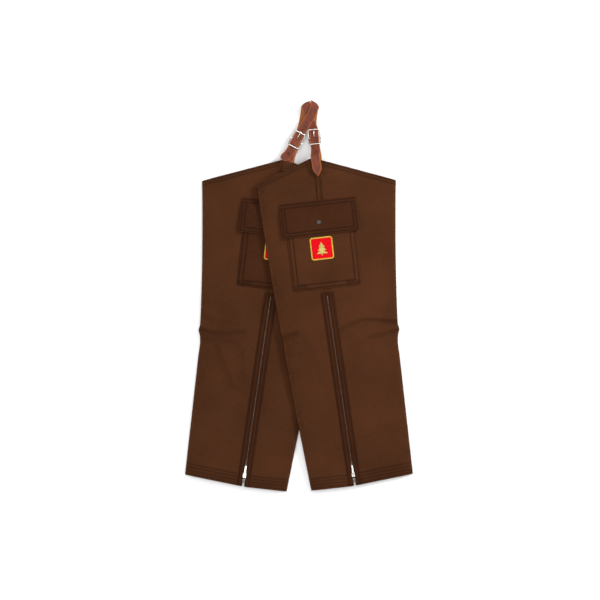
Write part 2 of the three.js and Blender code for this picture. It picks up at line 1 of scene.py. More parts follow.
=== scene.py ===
"""Chainsaw chaps laid out flat, legs crossed at the waist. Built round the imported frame, in metres, +Z up.

Sizes are in millimetres in the leg's own coordinates: U runs down the leg from its apex and V across it,
positive towards the front panel. Leg.world turns them into metres in the shared frame.
"""
import json
import math

import bpy
import numpy as np
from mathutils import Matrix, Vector, noise

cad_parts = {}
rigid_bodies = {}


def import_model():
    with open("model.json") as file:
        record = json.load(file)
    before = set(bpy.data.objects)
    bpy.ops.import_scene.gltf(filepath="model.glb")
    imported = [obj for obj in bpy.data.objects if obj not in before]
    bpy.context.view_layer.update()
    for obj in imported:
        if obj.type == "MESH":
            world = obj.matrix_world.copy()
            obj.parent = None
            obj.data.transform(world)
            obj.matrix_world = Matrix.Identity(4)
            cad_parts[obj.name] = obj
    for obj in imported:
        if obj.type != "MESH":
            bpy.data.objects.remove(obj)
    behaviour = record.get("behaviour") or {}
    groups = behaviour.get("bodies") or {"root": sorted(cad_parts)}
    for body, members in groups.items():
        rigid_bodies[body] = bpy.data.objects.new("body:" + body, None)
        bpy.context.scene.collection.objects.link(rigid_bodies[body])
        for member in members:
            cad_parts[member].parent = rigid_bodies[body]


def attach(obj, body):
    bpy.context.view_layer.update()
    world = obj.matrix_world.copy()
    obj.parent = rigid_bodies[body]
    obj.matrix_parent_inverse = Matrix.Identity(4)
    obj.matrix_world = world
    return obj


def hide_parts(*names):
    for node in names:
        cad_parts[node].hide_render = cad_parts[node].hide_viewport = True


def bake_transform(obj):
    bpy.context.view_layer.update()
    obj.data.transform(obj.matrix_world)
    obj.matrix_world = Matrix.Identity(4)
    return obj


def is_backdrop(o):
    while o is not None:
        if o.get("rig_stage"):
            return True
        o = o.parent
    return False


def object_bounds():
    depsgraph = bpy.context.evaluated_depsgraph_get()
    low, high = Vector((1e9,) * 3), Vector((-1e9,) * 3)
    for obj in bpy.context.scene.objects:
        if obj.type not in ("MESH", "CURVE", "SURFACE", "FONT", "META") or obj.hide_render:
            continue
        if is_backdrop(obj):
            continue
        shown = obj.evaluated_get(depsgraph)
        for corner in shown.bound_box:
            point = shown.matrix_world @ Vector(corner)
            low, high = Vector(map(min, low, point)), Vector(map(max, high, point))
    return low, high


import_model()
cad_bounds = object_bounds()

MM = 0.001

# Leg outline, as in the frame
LEG_LENGTH = 940.0
APEX_V, APEX_ROUNDING = -12.0, 1.5
REAR_TOP_SLOPE, FRONT_TOP_SLOPE = 0.345, 0.385
HEM_RISE = 0.09
REAR_TOP, REAR_HEM = 177.0, 120.0
FRONT_TOP, FRONT_HEM, FRONT_TAPER = 218.0, 173.0, 0.62
LEG_HEIGHT = 18.0
FOLD_HEIGHT = 7.0
CANVAS = 1.2
ZIP_TOP, ZIP_TOP_V, ZIP_LEAN = 387.0, -13.4, 0.0334
SLIT_START, SLIDER_U = 856.0, 907.0
LIP_OUTER = 16.0
RAISE, REAR_RAISE_LOW, REAR_RAISE_HEM, REAR_KNEE = 32.0, 20.0, 3.0, 0.8
RIDGE_OFFSET, GROUND_MARGIN = 28.0, 12.0

# Pocket, flap, patch, snap
POCKET_REAR, POCKET_FRONT, POCKET_MOUTH, POCKET_BOTTOM = -108.0, 87.0, 160.0, 372.0
FLAP_REAR, FLAP_FRONT, FLAP_TOP, FLAP_BOTTOM = -120.0, 98.0, 122.5, 219.0
PATCH_U, PATCH_V, PATCH_HALF = 258.0, -13.5, 30.5
SNAP_U, SNAP_V = 183.5, -13.4

# Straps and buckles
STRAP_WIDTH, STRAP_THICKNESS = 26.0, 2.6
CHAPE_WIDTH, CHAPE_THICKNESS = 24.0, 2.0
BAR_RADIUS, BAR_RISE = 1.8, 10.2
BUCKLE_HALF_LENGTH, BUCKLE_HALF_WIDTH = 22.0, 16.2
STRAP_OVER_BAR = 5.8
TUNNEL_V = {"left": -18.6, "right": -5.0}

# Heights of the zip above the underside of the leg
TAPE_TOP, CHAIN_MIDDLE, PULL_TOP = 14.2, 15.8, 22.2
# The canvas lips beside the zip: their gap above the leg's canvas, and their thickness
LIP_CLEARANCE, LIP_THICKNESS = 0.5, 1.1

# Rows of stitching: insets from the waist edge and from the hem, and the offset from the centre seam
TOP_ROWS, HEM_ROWS, SEAM_ROW = (4.5, 13.0), (6.0, 15.0, 24.0, 33.0), 6.5
# Insets of the rows from the pocket's edge, from the flap's top edge and from its other three edges
POCKET_INSETS, FLAP_TOP_INSETS, FLAP_INSETS = (4, 16), (3, 12), (4, 13)


def lerp(a, b, t):
    return a + (b - a) * t


def smooth(a, b, x):
    t = np.clip((x - a) / (b - a), 0.0, 1.0)
    return t * t * (3 - 2 * t)


# ---------------------------------------------------------------- leg shape

def top_line(v):
    slope = np.where(v < APEX_V, REAR_TOP_SLOPE, FRONT_TOP_SLOPE)
    return slope * (np.hypot(v - APEX_V, APEX_ROUNDING) - APEX_ROUNDING)


def hem_line(v):
    return LEG_LENGTH - HEM_RISE * np.maximum(0, v)


def fraction_at(u, v):
    return (u - top_line(v)) / (hem_line(v) - top_line(v))


def seam_line(u):
    return np.where(u < ZIP_TOP, ZIP_TOP_V * u / ZIP_TOP, ZIP_TOP_V + ZIP_LEAN * (u - ZIP_TOP))


def bump(x, centre, width):
    return np.exp(-(((x - centre) / width) ** 2))


def segment_distance(u, v, a, b):
    """Distance from points to a segment."""
    du, dv = b[0] - a[0], b[1] - a[1]
    t = np.clip(((u - a[0]) * du + (v - a[1]) * dv) / (du * du + dv * dv), 0, 1)
    return np.hypot(u - a[0] - t * du, v - a[1] - t * dv)


def line_distance(u, v, points):
    """Distance from points to the nearest stretch of a broken line."""
    return np.min([segment_distance(u, v, a, b) for a, b in zip(points, points[1:])], axis=0)


def seam_shade(u, v, lines, width=1.9):
    """Painted shade, from 0 to 1, where rows of stitching pull the cloth down into a dark line."""
    return np.max([np.exp(-((line_distance(u, v, line) / width) ** 2)) for line in lines], axis=0)


def perlin(u, v, scale, seed):
    """Smooth noise of about -0.5 to 0.5, with features of the given size."""
    flat = np.stack([np.ravel(u), np.ravel(v)], 1) / scale
    values = [noise.noise(Vector((a, b, seed))) for a, b in flat]
    return np.array(values).reshape(np.shape(u))


class Leg:
    """One laid-out leg: where it lies, its outline and its draped, creased surface."""

    def __init__(self, side, apex, turn, raised, creases, seed):
        self.side, self.raised, self.creases, self.seed = side, raised, creases, seed
        self.apex, self.turn = apex, math.radians(turn)
        self.mirror = 1 if raised else -1
        self.body = f"{side}_leg"

    def world(self, u, v, z):
        x, y = np.asarray(v, float) * self.mirror, -np.asarray(u, float)
        cos, sin = math.cos(self.turn), math.sin(self.turn)
        z = np.broadcast_to(np.asarray(z, float), x.shape)
        return np.stack([self.apex[0] + x * cos - y * sin, self.apex[1] + x * sin + y * cos, z], -1) * MM

    def front_edge(self, f):
        knee = 4.0 * bump(f, 0.515, 0.012) - 2.5 * bump(f, 0.56, 0.03)
        return FRONT_HEM + (FRONT_TOP - FRONT_HEM) * np.maximum(0, 1 - f / FRONT_TAPER) ** 1.4 + knee

    def rear_edge(self, f):
        knee = 2.5 * bump(f, 0.52, 0.015)
        return -REAR_TOP + (REAR_TOP - REAR_HEM) * np.maximum(0, f) ** 1.4 + knee

    def raise_at(self, u, v):
        """Height of the underside above the ground."""
        if not self.raised:
            return np.zeros(np.shape(u * v))
        f = np.clip(fraction_at(u, v), 0, 1)
        zip_f = ZIP_TOP / LEG_LENGTH
        along = np.where(f < zip_f, RAISE, RAISE * (1 - f) / (1 - zip_f))
        seam = seam_line(LEG_LENGTH * f)
        ridge = seam + RIDGE_OFFSET
        foot = self.front_edge(f) - GROUND_MARGIN
        t = np.clip((foot - v) / (foot - ridge), 0, 1)
        front = along * t
        low = lerp(RAISE, REAR_RAISE_LOW, (f - zip_f) / (REAR_KNEE - zip_f))
        high = lerp(REAR_RAISE_LOW, REAR_RAISE_HEM, (f - REAR_KNEE) / (1 - REAR_KNEE))
        rear = np.where(f < zip_f, RAISE, np.where(f < REAR_KNEE, low, high))
        across = np.clip((seam - v) / (seam - self.rear_edge(f)), 0, 1)
        return np.where(v > ridge, front, lerp(along, rear, across))

    def crease_fade(self, u, v):
        """Creases are deepest at the folded edges of the leg and fade towards the zip."""
        f = fraction_at(u, v)
        edge = np.maximum(0, np.minimum(self.front_edge(f) - v, v - self.rear_edge(f)))
        return 0.4 + 0.6 * np.exp(-edge / 90)

    def relief(self, u, v):
        """Creases and soft waves of the upper layer, in millimetres."""
        f = fraction_at(u, v)
        edge = np.minimum(self.front_edge(f) - v, v - self.rear_edge(f))
        calm = smooth(0, 30, edge)
        waves = 2.6 * perlin(u, v, 150, self.seed) + 1.5 * perlin(u * 0.7, v, 60, self.seed + 7)
        lower = smooth(400, 480, u) * (1 - 0.5 * smooth(860, 930, u))
        waves = waves * (0.55 + 0.75 * lower) + 1.1 * lower * perlin(u, v * 0.8, 34, self.seed + 3)
        height = calm * waves
        fade = self.crease_fade(u, v)
        for points, depth, width in self.creases:
            d = line_distance(u, v, points)
            depth = depth * fade
            height = height - depth * np.exp(-((d / width) ** 2))
            height = height + 0.55 * depth * np.exp(-(((d - 2.3 * width) / (1.6 * width)) ** 2))
        near_zip = np.exp(-(((v - seam_line(u)) / 26) ** 2)) * smooth(ZIP_TOP - 30, ZIP_TOP, u)
        pocket = smooth(POCKET_REAR - 14, POCKET_REAR, v) * (1 - smooth(POCKET_FRONT, POCKET_FRONT + 14, v))
        pocket = pocket * smooth(FLAP_TOP - 12, FLAP_TOP, u)
        pocket = pocket * (1 - smooth(POCKET_BOTTOM, POCKET_BOTTOM + 14, u))
        return np.clip(height * (1 - near_zip) * (1 - pocket), -3.0, 3.2)

    def top(self, u, v):
        """Height of the outer face of the upper canvas."""
        f = fraction_at(u, v)
        edge = np.maximum(0, np.minimum(self.front_edge(f) - v, v - self.rear_edge(f)))
        crown = FOLD_HEIGHT + (LEG_HEIGHT - FOLD_HEIGHT) * (1 - np.exp(-edge / 16))
        ends = np.minimum(np.maximum(0, u - top_line(v)), np.maximum(0, hem_line(v) - u))
        crown = crown - 4.5 * np.exp(-ends / 14)
        return self.raise_at(u, v) + crown + self.relief(u, v)


def zip_gap(u):
    """Half of the opening between the lips: a fine line that spreads round the slider at the hem."""
    spread = 5.4 * smooth(SLIT_START, SLIDER_U - 8, u) - 3.4 * smooth(SLIDER_U + 4, LEG_LENGTH - 8, u)
    return 1.1 + spread


LEGS = {
    "left": Leg("left", (-49.65, 390.20), -6.4, False, [
        ([(507, 190), (516, 150), (515, 100), (504, 55)], 3.2, 5),
        ([(540, 190), (532, 120), (536, 70)], 1.6, 6),
        ([(552, 126), (660, 72)], 2.0, 7),
        ([(557, 54), (670, 36)], 1.5, 7),
        ([(470, 176), (486, 120)], 1.2, 6),
    ], 1.3),
    "right": Leg("right", (49.65, 392.70), 6.4, True, [
        ([(497, 9), (484, 45), (475, 80), (481, 125), (496, 190)], 3.6, 5),
        ([(527, 96), (516, 176)], 2.4, 5),
        ([(503, -165), (494, -115)], 2.6, 6),
        ([(540, 60), (620, 40)], 1.2, 7),
        ([(520, -90), (640, -60)], 1.2, 8),
    ], 4.1),
}


# ---------------------------------------------------------------- meshes

def new_object(name, points, faces, material, attributes=None, smooth_shade=True):
    mesh = bpy.data.meshes.new(name)
    mesh.from_pydata([tuple(p) for p in points], [], [tuple(int(i) for i in f) for f in faces])
    mesh.validate()
    for label, values in (attributes or {}).items():
        layer = mesh.attributes.new(label, "FLOAT", "POINT")
        layer.data.foreach_set("value", np.asarray(values, np.float32))
    if smooth_shade:
        mesh.polygons.foreach_set("use_smooth", [True] * len(mesh.polygons))
    mesh.materials.append(material)
    obj = bpy.data.objects.new(name, mesh)
    bpy.context.scene.collection.objects.link(obj)
    return obj


def settle(obj, body, slot, *nodes):
    """Say which body a piece moves with and which CAD nodes it stands for. The slot argument is not used."""
    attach(obj, body)
    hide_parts(*nodes)


def grid_faces(rows, columns, start=0, flip=False):
    i, j = np.meshgrid(np.arange(rows - 1), np.arange(columns - 1), indexing="ij")
    a = start + i * columns + j
    quads = np.stack([a, a + 1, a + columns + 1, a + columns], -1).reshape(-1, 4)
    return quads[:, ::-1] if flip else quads


def rim_indices(rows, columns):
    top = [(0, j) for j in range(columns)]
    right = [(i, columns - 1) for i in range(1, rows)]
    bottom = [(rows - 1, j) for j in range(columns - 2, -1, -1)]
    left = [(i, 0) for i in range(rows - 2, 0, -1)]
    return top + right + bottom + left


def sheet_object(name, outer, inner, material, wear=None, rolls=2, seam=None):
    """A closed sheet between two point grids, its rim rolled round in a half circle."""
    rows, columns = outer.shape[:2]
    count = rows * columns
    points = [outer.reshape(-1, 3), inner.reshape(-1, 3)]
    faces = [grid_faces(rows, columns, 0, True), grid_faces(rows, columns, count)]
    rim = rim_indices(rows, columns)
    loops = [np.array([i * columns + j for i, j in rim])]
    edge_out = np.array([outer[i, j] for i, j in rim])
    edge_in = np.array([inner[i, j] for i, j in rim])
    inside = np.array([outer[min(max(i, 1), rows - 2), min(max(j, 1), columns - 2)] for i, j in rim])
    away = edge_out - inside
    away /= np.maximum(1e-9, np.linalg.norm(away, axis=1))[:, None]
    middle = (edge_out + edge_in) / 2
    half = (edge_out - edge_in) / 2
    reach = np.linalg.norm(half, axis=1)[:, None]
    start = 2 * count
    for k in range(1, rolls + 1):
        angle = math.pi * k / (rolls + 1)
        points.append(middle + half * math.cos(angle) + away * reach * math.sin(angle))
        loops.append(np.arange(len(rim)) + start)
        start += len(rim)
    loops.append(np.array([count + i * columns + j for i, j in rim]))
    for upper, lower in zip(loops, loops[1:]):
        ahead = np.roll(upper, -1), np.roll(lower, -1)
        faces.append(np.stack([upper, ahead[0], ahead[1], lower], 1))
    points = np.concatenate(points)
    rubbed, painted_shade = np.zeros(len(points)), np.zeros(len(points))
    if wear is not None:
        rubbed[:count] = np.ravel(wear)
        rubbed[2 * count:] = 0.6
    # The seam values are painted shade along creases and rows of stitching.
    if seam is not None:
        painted_shade[:count] = np.ravel(seam)
    return new_object(name, points, np.concatenate(faces), material, {"wear": rubbed, "seam": painted_shade})


def ring_faces(rings, sides, start=0, closed=False):
    faces = []
    for i in range(rings if closed else rings - 1):
        for j in range(sides):
            a, b = start + i * sides + j, start + i * sides + (j + 1) % sides
            c, d = start + ((i + 1) % rings) * sides + (j + 1) % sides, start + ((i + 1) % rings) * sides + j
            faces.append((a, b, c, d))
    return faces


def tube_mesh(path, radii, sides=12, closed=False, flatten=1.0, up=(0, 0, 1)):
    """Points and faces of a round bar along a path, capped at its ends unless it is closed."""
    path = np.asarray(path, float)
    count = len(path)
    radii = np.broadcast_to(np.asarray(radii, float), (count,))
    tangent = (np.roll(path, -1, 0) - np.roll(path, 1, 0)) if closed else np.gradient(path, axis=0)
    tangent /= np.linalg.norm(tangent, axis=1)[:, None]
    side = np.cross(tangent, up)
    weak = np.linalg.norm(side, axis=1) < 1e-6
    side[weak] = np.cross(tangent[weak], (0, 1, 0))
    side /= np.linalg.norm(side, axis=1)[:, None]
    top = np.cross(side, tangent)
    angles = np.arange(sides) * 2 * math.pi / sides
    rings = (path[:, None] + radii[:, None, None] * (np.cos(angles)[None, :, None] * side[:, None]
             + flatten * np.sin(angles)[None, :, None] * top[:, None]))
    points = rings.reshape(-1, 3)
    faces = ring_faces(count, sides, closed=closed)
    if not closed:
        ends = np.array([path[0] - tangent[0] * radii[0] * 0.5, path[-1] + tangent[-1] * radii[-1] * 0.5])
        points = np.concatenate([points, ends])
        first, last = len(points) - 2, len(points) - 1
        base = (count - 1) * sides
        faces += [(first, (j + 1) % sides, j) for j in range(sides)]
        faces += [(last, base + j, base + (j + 1) % sides) for j in range(sides)]
    return points, faces


def merge(parts):
    points, faces, start = [], [], 0
    for some, more in parts:
        points.append(np.asarray(some, float))
        faces += [tuple(i + start for i in face) for face in more]
        start += len(some)
    return np.concatenate(points), faces


def fix_normals(obj):
    import bmesh
    mesh = bmesh.new()
    mesh.from_mesh(obj.data)
    bmesh.ops.recalc_face_normals(mesh, faces=mesh.faces)
    mesh.to_mesh(obj.data)
    mesh.free()


def stitch_object(name, paths, material, pitch=3.6, length=3.1, radius=0.6):
    """Thread stitches along paths given as metre points with their surface normals."""
    template = [(-0.5, 0.25), (-0.38, 0.85), (0.0, 1.0), (0.38, 0.85), (0.5, 0.25)]
    sides = 6
    parts = []
    for path, normals in paths:
        step = np.linalg.norm(np.diff(path, axis=0), axis=1)
        along = np.concatenate([[0], np.cumsum(step)]) / MM
        places = np.arange(pitch * 0.5, along[-1] - pitch * 0.4, pitch)
        centre = np.stack([np.interp(places, along, path[:, k]) for k in range(3)], 1)
        ahead = np.stack([np.interp(places + 0.5, along, path[:, k]) for k in range(3)], 1)
        normal = np.stack([np.interp(places, along, normals[:, k]) for k in range(3)], 1)
        for c, a, n in zip(centre, ahead, normal):
            t = a - c
            t /= max(1e-9, np.linalg.norm(t))
            n = n / np.linalg.norm(n)
            s = np.cross(n, t)
            points = []
            for at, wide in template:
                sink = 0.3 - 1.1 * (1 - wide)
                for k in range(sides):
                    angle = 2 * math.pi * k / sides
                    r = radius * wide * MM
                    points.append(c + t * at * length * MM + s * r * math.cos(angle)
                                  + n * (r * math.sin(angle) + sink * radius * MM))
            faces = ring_faces(len(template), sides)
            faces.append(tuple(range(sides - 1, -1, -1)))
            base = (len(template) - 1) * sides
            faces.append(tuple(base + k for k in range(sides)))
            parts.append((points, faces))
    points, faces = merge(parts)
    return new_object(name, points, faces, material)


def surface_path(leg, height, corners, step=6.0):
    """A path on a surface through (u, v) corners, with normals taken from the height function."""
    us, vs = [], []
    for (u0, v0), (u1, v1) in zip(corners, corners[1:]):
        n = max(2, int(math.hypot(u1 - u0, v1 - v0) / step))
        t = np.linspace(0, 1, n, endpoint=False)
        us.append(lerp(u0, u1, t))
        vs.append(lerp(v0, v1, t))
    u = np.concatenate(us + [[corners[-1][0]]])
    v = np.concatenate(vs + [[corners[-1][1]]])
    z = height(u, v)
    here = leg.world(u, v, z)
    down = leg.world(u + 1, v, height(u + 1, v)) - here
    across = leg.world(u, v + 1, height(u, v + 1)) - here
    normal = np.cross(across, down)
    normal *= np.sign(normal[:, 2])[:, None]
    return here, normal / np.linalg.norm(normal, axis=1)[:, None]


# ---------------------------------------------------------------- materials

class Shader:
    """A short way to build one node material."""

    def __init__(self, name, roughness, metallic=0.0, **sockets):
        self.material = bpy.data.materials.new(name)
        self.material.use_nodes = True
        self.tree = self.material.node_tree
        self.surface = self.tree.nodes["Principled BSDF"]
        self.surface.inputs["Roughness"].default_value = roughness
        self.surface.inputs["Metallic"].default_value = metallic
        for label, value in sockets.items():
            self.surface.inputs[label.replace("_", " ")].default_value = value

    def node(self, kind, inputs=None, **settings):
        made = self.tree.nodes.new(kind)
        for label, value in settings.items():
            setattr(made, label, value)
        for label, value in (inputs or {}).items():
            if isinstance(value, bpy.types.NodeSocket):
                self.tree.links.new(value, made.inputs[label])
            else:
                made.inputs[label].default_value = value
        return made

    def place(self, scale=(1, 1, 1), turn=0.0):
        where = self.node("ShaderNodeTexCoord").outputs["Object"]
        mapped = self.node("ShaderNodeMapping", {"Vector": where, "Scale": scale, "Rotation": (0, 0, turn)})
        return mapped.outputs["Vector"]

    def noise(self, scale, where, detail=3.0):
        made = self.node("ShaderNodeTexNoise", {"Vector": where, "Scale": scale, "Detail": detail})
        return made.outputs["Fac"]

    def wave(self, period, where, axis, distortion=0.4):
        scale = 2 * math.pi / (20 * period)
        made = self.node("ShaderNodeTexWave", {"Vector": where, "Scale": scale, "Distortion": distortion,
                                               "Detail": 1.0, "Detail Scale": 2.0},
                         wave_type="BANDS", bands_direction=axis)
        return made.outputs["Fac"]

    def math(self, kind, a, b):
        return self.node("ShaderNodeMath", {0: a, 1: b}, operation=kind).outputs[0]

    def ramp(self, factor, low, high):
        made = self.node("ShaderNodeMapRange", {"Value": factor, "From Min": low, "From Max": high})
        return made.outputs[0]

    def mix(self, factor, a, b):
        made = self.node("ShaderNodeMix", {"Factor": factor}, data_type="RGBA")
        for socket, value in (("A", a), ("B", b)):
            target = [s for s in made.inputs if s.name == socket and s.type == "RGBA"][0]
            if isinstance(value, bpy.types.NodeSocket):
                self.tree.links.new(value, target)
            else:
                target.default_value = (*value, 1)
        return [s for s in made.outputs if s.type == "RGBA"][0]

    def attribute(self, name):
        return self.node("ShaderNodeAttribute", attribute_name=name).outputs["Fac"]

    def colour(self, value):
        if isinstance(value, bpy.types.NodeSocket):
            self.tree.links.new(value, self.surface.inputs["Base Color"])
        else:
            self.surface.inputs["Base Color"].default_value = (*value, 1)

    def roughness(self, value):
        self.tree.links.new(value, self.surface.inputs["Roughness"])

    def bump(self, height, strength, distance):
        made = self.node("ShaderNodeBump", {"Height": height, "Strength": strength, "Distance": distance})
        self.tree.links.new(made.outputs["Normal"], self.surface.inputs["Normal"])


def canvas_shader(name, dark, light, worn, turn):
    """Waxed duck: a close plain weave with slubs, soft blotches and lighter rubbed edges."""
    shader = Shader(name, 0.86, Specular_IOR_Level=0.05)
    where = shader.place(turn=turn)
    warp = shader.wave(0.0013, where, "X")
    weft = shader.wave(0.0013, where, "Y")
    weave = shader.math("MULTIPLY", warp, weft)
    slub = shader.noise(60, shader.place((1, 9, 1), turn), 4.0)
    cross = shader.noise(60, shader.place((9, 1, 1), turn), 4.0)
    thread = shader.math("ADD", shader.math("MULTIPLY", slub, 0.5), shader.math("MULTIPLY", cross, 0.5))
    blotch = shader.noise(7, where, 4.0)
    tone = shader.math("ADD", shader.math("MULTIPLY", blotch, 0.45), shader.math("MULTIPLY", thread, 0.55))
    body = shader.mix(shader.ramp(tone, 0.36, 0.64), dark, light)
    flecked = shader.mix(shader.math("MULTIPLY", weave, 0.10), body, worn)
    patches = shader.ramp(shader.noise(90, where, 5.0), 0.35, 0.7)
    rubbed = shader.math("MULTIPLY", shader.attribute("wear"), patches)
    faded = shader.mix(shader.math("MULTIPLY", rubbed, 0.5), flecked, worn)
    # Painted shade: the seam attribute darkens the colour along creases and rows of stitching.
    painted_shade = shader.math("MULTIPLY", shader.attribute("seam"), 0.62)
    shader.colour(shader.mix(painted_shade, faded, tuple(0.28 * channel for channel in dark)))
    height = shader.math("ADD", weave, shader.math("MULTIPLY", thread, 1.6))
    shader.bump(height, 0.5, 0.0004)
    shader.roughness(shader.ramp(thread, -1.6, 1.2))
    return shader.material


def leather_shader(name, dark, light, edge):
    shader = Shader(name, 0.5, Specular_IOR_Level=0.2)
    where = shader.place()
    cells = shader.node("ShaderNodeTexVoronoi", {"Vector": where, "Scale": 900.0}).outputs["Distance"]
    blotch = shader.noise(45, where, 5.0)
    streak = shader.noise(160, shader.place((1, 0.25, 1)), 3.0)
    tone = shader.math("ADD", shader.math("MULTIPLY", blotch, 0.65), shader.math("MULTIPLY", streak, 0.35))
    body = shader.mix(shader.ramp(tone, 0.35, 0.66), dark, light)
    shader.colour(shader.mix(shader.attribute("wear"), body, edge))
    shader.bump(shader.math("ADD", cells, shader.math("MULTIPLY", streak, 1.5)), 0.35, 0.0003)
    shader.roughness(shader.ramp(blotch, -0.9, 1.4))
    return shader.material


def metal_shader(name, colour, tarnish, roughness):
    shader = Shader(name, roughness, 1.0)
    where = shader.place()
    blotch = shader.noise(220, where, 5.0)
    shader.colour(shader.mix(shader.ramp(blotch, 0.45, 0.8), colour, tarnish))
    scratch = shader.noise(700, shader.place((1, 12, 1)), 2.0)
    shader.bump(scratch, 0.12, 0.0001)
    return shader.material


def thread_shader(name, dark, light, period=0.0006):
    """Twisted thread or embroidery floss."""
    shader = Shader(name, 0.6, Specular_IOR_Level=0.05)
    twist = shader.wave(period, shader.place(turn=0.6), "X", 0.1)
    blotch = shader.noise(180, shader.place(), 3.0)
    shader.colour(shader.mix(shader.ramp(blotch, 0.3, 0.7), dark, light))
    shader.bump(shader.math("ADD", twist, blotch), 0.4, 0.0003)
    return shader.material


def fibre_shader(name, dark, light, scale):
    """Plain fibrous cloth of the hidden layers."""
    shader = Shader(name, 0.95)
    fibre = shader.noise(scale, shader.place((1, 6, 1)), 5.0)
    shader.colour(shader.mix(shader.ramp(fibre, 0.35, 0.65), dark, light))
    shader.bump(fibre, 0.5, 0.0005)
    return shader.material


BROWN_DARK, BROWN_LIGHT, BROWN_WORN = (0.038, 0.0122, 0.0040), (0.064, 0.0208, 0.0073), (0.120, 0.045, 0.018)
# Darker canvas: the flaps, the bellows and the left pocket are cut from it; on the zip lips it is painted
# shade.
DEEP_DARK, DEEP_LIGHT, DEEP_WORN = (0.028, 0.0084, 0.0026), (0.047, 0.0142, 0.0048), (0.090, 0.031, 0.012)
CANVAS_OF = {side: canvas_shader(f"{side}_canvas", BROWN_DARK, BROWN_LIGHT, BROWN_WORN, -leg.turn)
             for side, leg in LEGS.items()}
DEEP_OF = {side: canvas_shader(f"{side}_dark_canvas", DEEP_DARK, DEEP_LIGHT, DEEP_WORN, -leg.turn)
           for side, leg in LEGS.items()}
LEATHER = leather_shader("leather", (0.082, 0.0175, 0.0085), (0.175, 0.040, 0.0190), (0.38, 0.120, 0.024))
NICKEL = metal_shader("nickel", (0.66, 0.64, 0.60), (0.36, 0.34, 0.31), 0.22)
GUNMETAL = metal_shader("gunmetal", (0.030, 0.026, 0.023), (0.075, 0.062, 0.052), 0.32)
DULL_TEETH = metal_shader("dull_teeth", (0.20, 0.18, 0.155), (0.09, 0.08, 0.07), 0.45)
THREAD = thread_shader("thread", (0.012, 0.004, 0.002), (0.034, 0.012, 0.006))
RED_FLOSS = thread_shader("red_floss", (0.48, 0.001, 0.004), (0.62, 0.002, 0.009), 0.0009)
GOLD_FLOSS = thread_shader("gold_floss", (0.44, 0.27, 0.028), (0.58, 0.38, 0.06), 0.0008)
PALE_FLOSS = thread_shader("pale_floss", (0.46, 0.38, 0.09), (0.60, 0.52, 0.18), 0.0008)
PADDING = fibre_shader("cut_fibre", (0.55, 0.42, 0.20), (0.78, 0.66, 0.40), 120)
LINING = fibre_shader("lining_cloth", (0.018, 0.010, 0.008), (0.035, 0.022, 0.017), 400)
TAPE = fibre_shader("zip_tape_cloth", (0.014, 0.006, 0.004), (0.030, 0.013, 0.008), 600)


# ---------------------------------------------------------------- leg shell

PANEL_ROWS, TOP_COLUMNS, FOLD_COLUMNS, UNDER_COLUMNS = 290, 70, 9, 12


def squeezed(leg, depth, u, v):
    """A depth inside the canvas, less where the leg is thinner than its layers."""
    return depth * np.minimum(1, (leg.top(u, v) - leg.raise_at(u, v)) / 12)


def panel_painted_shade(leg, u, v):
    """Painted shade: dark lines of the creases, the waist edge, the centre seam, the zip's stitching and the
    hem.
    """
    fade = leg.crease_fade(u, v)
    folds = [0.19 * depth * fade * np.exp(-((line_distance(u, v, points) / (1.8 * width)) ** 2))
             for points, depth, width in leg.creases]
    shade = np.max(folds, axis=0)
    for inset in TOP_ROWS:
        shade = np.maximum(shade, 0.7 * bump(u - top_line(v), inset, 2.4))
    for inset in HEM_ROWS:
        shade = np.maximum(shade, 0.6 * bump(hem_line(v) - u, inset, 2.2))
    centre = smooth(20, 60, u) * (1 - smooth(ZIP_TOP - 12, ZIP_TOP - 6, u))
    for offset in (-SEAM_ROW, SEAM_ROW):
        shade = np.maximum(shade, centre * bump(v - seam_line(u), offset, 2.4))
    beside = smooth(ZIP_TOP - 4, ZIP_TOP, u)
    for offset in (-LIP_OUTER - 1.2, LIP_OUTER + 1.2):
        shade = np.maximum(shade, beside * bump(v - seam_line(u), offset, 2.0))
    return shade


def shell_grid(leg, side, depth, inset, rows=PANEL_ROWS, ends=(0.0, 1.0)):
    """Points of one half of the tube at a depth inside the canvas, from the zip round to the inseam."""
    f = np.linspace(ends[0], ends[1], rows)[:, None]
    seam = seam_line(LEG_LENGTH * f)
    edge = leg.front_edge(f) if side > 0 else leg.rear_edge(f)
    start = seam + side * inset(LEG_LENGTH * f)
    radius = FOLD_HEIGHT / 2
    t = np.linspace(0, 1, TOP_COLUMNS)[None, :]
    v_top = lerp(start, edge - side * radius, 1 - (1 - t) ** 1.5)
    u_top = lerp(top_line(v_top), hem_line(v_top), f)
    z_top = leg.top(u_top, v_top) - squeezed(leg, depth, u_top, v_top)
    s = np.linspace(0, 1, UNDER_COLUMNS)[None, :]
    notch = 0.2 + 3.2 * smooth(SLIDER_U + 10, SLIDER_U + 16, LEG_LENGTH * f)
    v_under = lerp(edge - side * radius, seam + side * notch, s)
    u_under = lerp(top_line(v_under), hem_line(v_under), f)
    z_under = leg.raise_at(u_under, v_under) + squeezed(leg, depth, u_under, v_under)
    angle = np.linspace(math.pi / 2, -math.pi / 2, FOLD_COLUMNS + 2)[None, 1:-1]
    half = (z_top[:, -1:] - z_under[:, :1]) / 2
    whole = (z_top[:, -1:] - leg.raise_at(u_under[:, :1], v_under[:, :1])) / 2
    v_fold = edge - side * radius + side * radius * half / whole * np.cos(angle)
    u_fold = lerp(top_line(v_fold), hem_line(v_fold), f)
    z_fold = (z_top[:, -1:] + z_under[:, :1]) / 2 + half * np.sin(angle)
    u = np.concatenate([u_top, u_fold, u_under], 1)
    v = np.concatenate([v_top, v_fold, v_under], 1)
    z = np.concatenate([z_top, z_fold, z_under], 1)
    wear = np.concatenate([0.8 * smooth(10, 0, (edge - v_top) * side), np.full(v_fold.shape, 0.9),
                           np.zeros(v_under.shape)], 1)
    rim = np.minimum(np.maximum(0, u - top_line(v)), np.maximum(0, hem_line(v) - u))
    return leg.world(u, v, z), np.maximum(wear, 0.7 * np.exp(-rim / 3)), panel_painted_shade(leg, u, v)


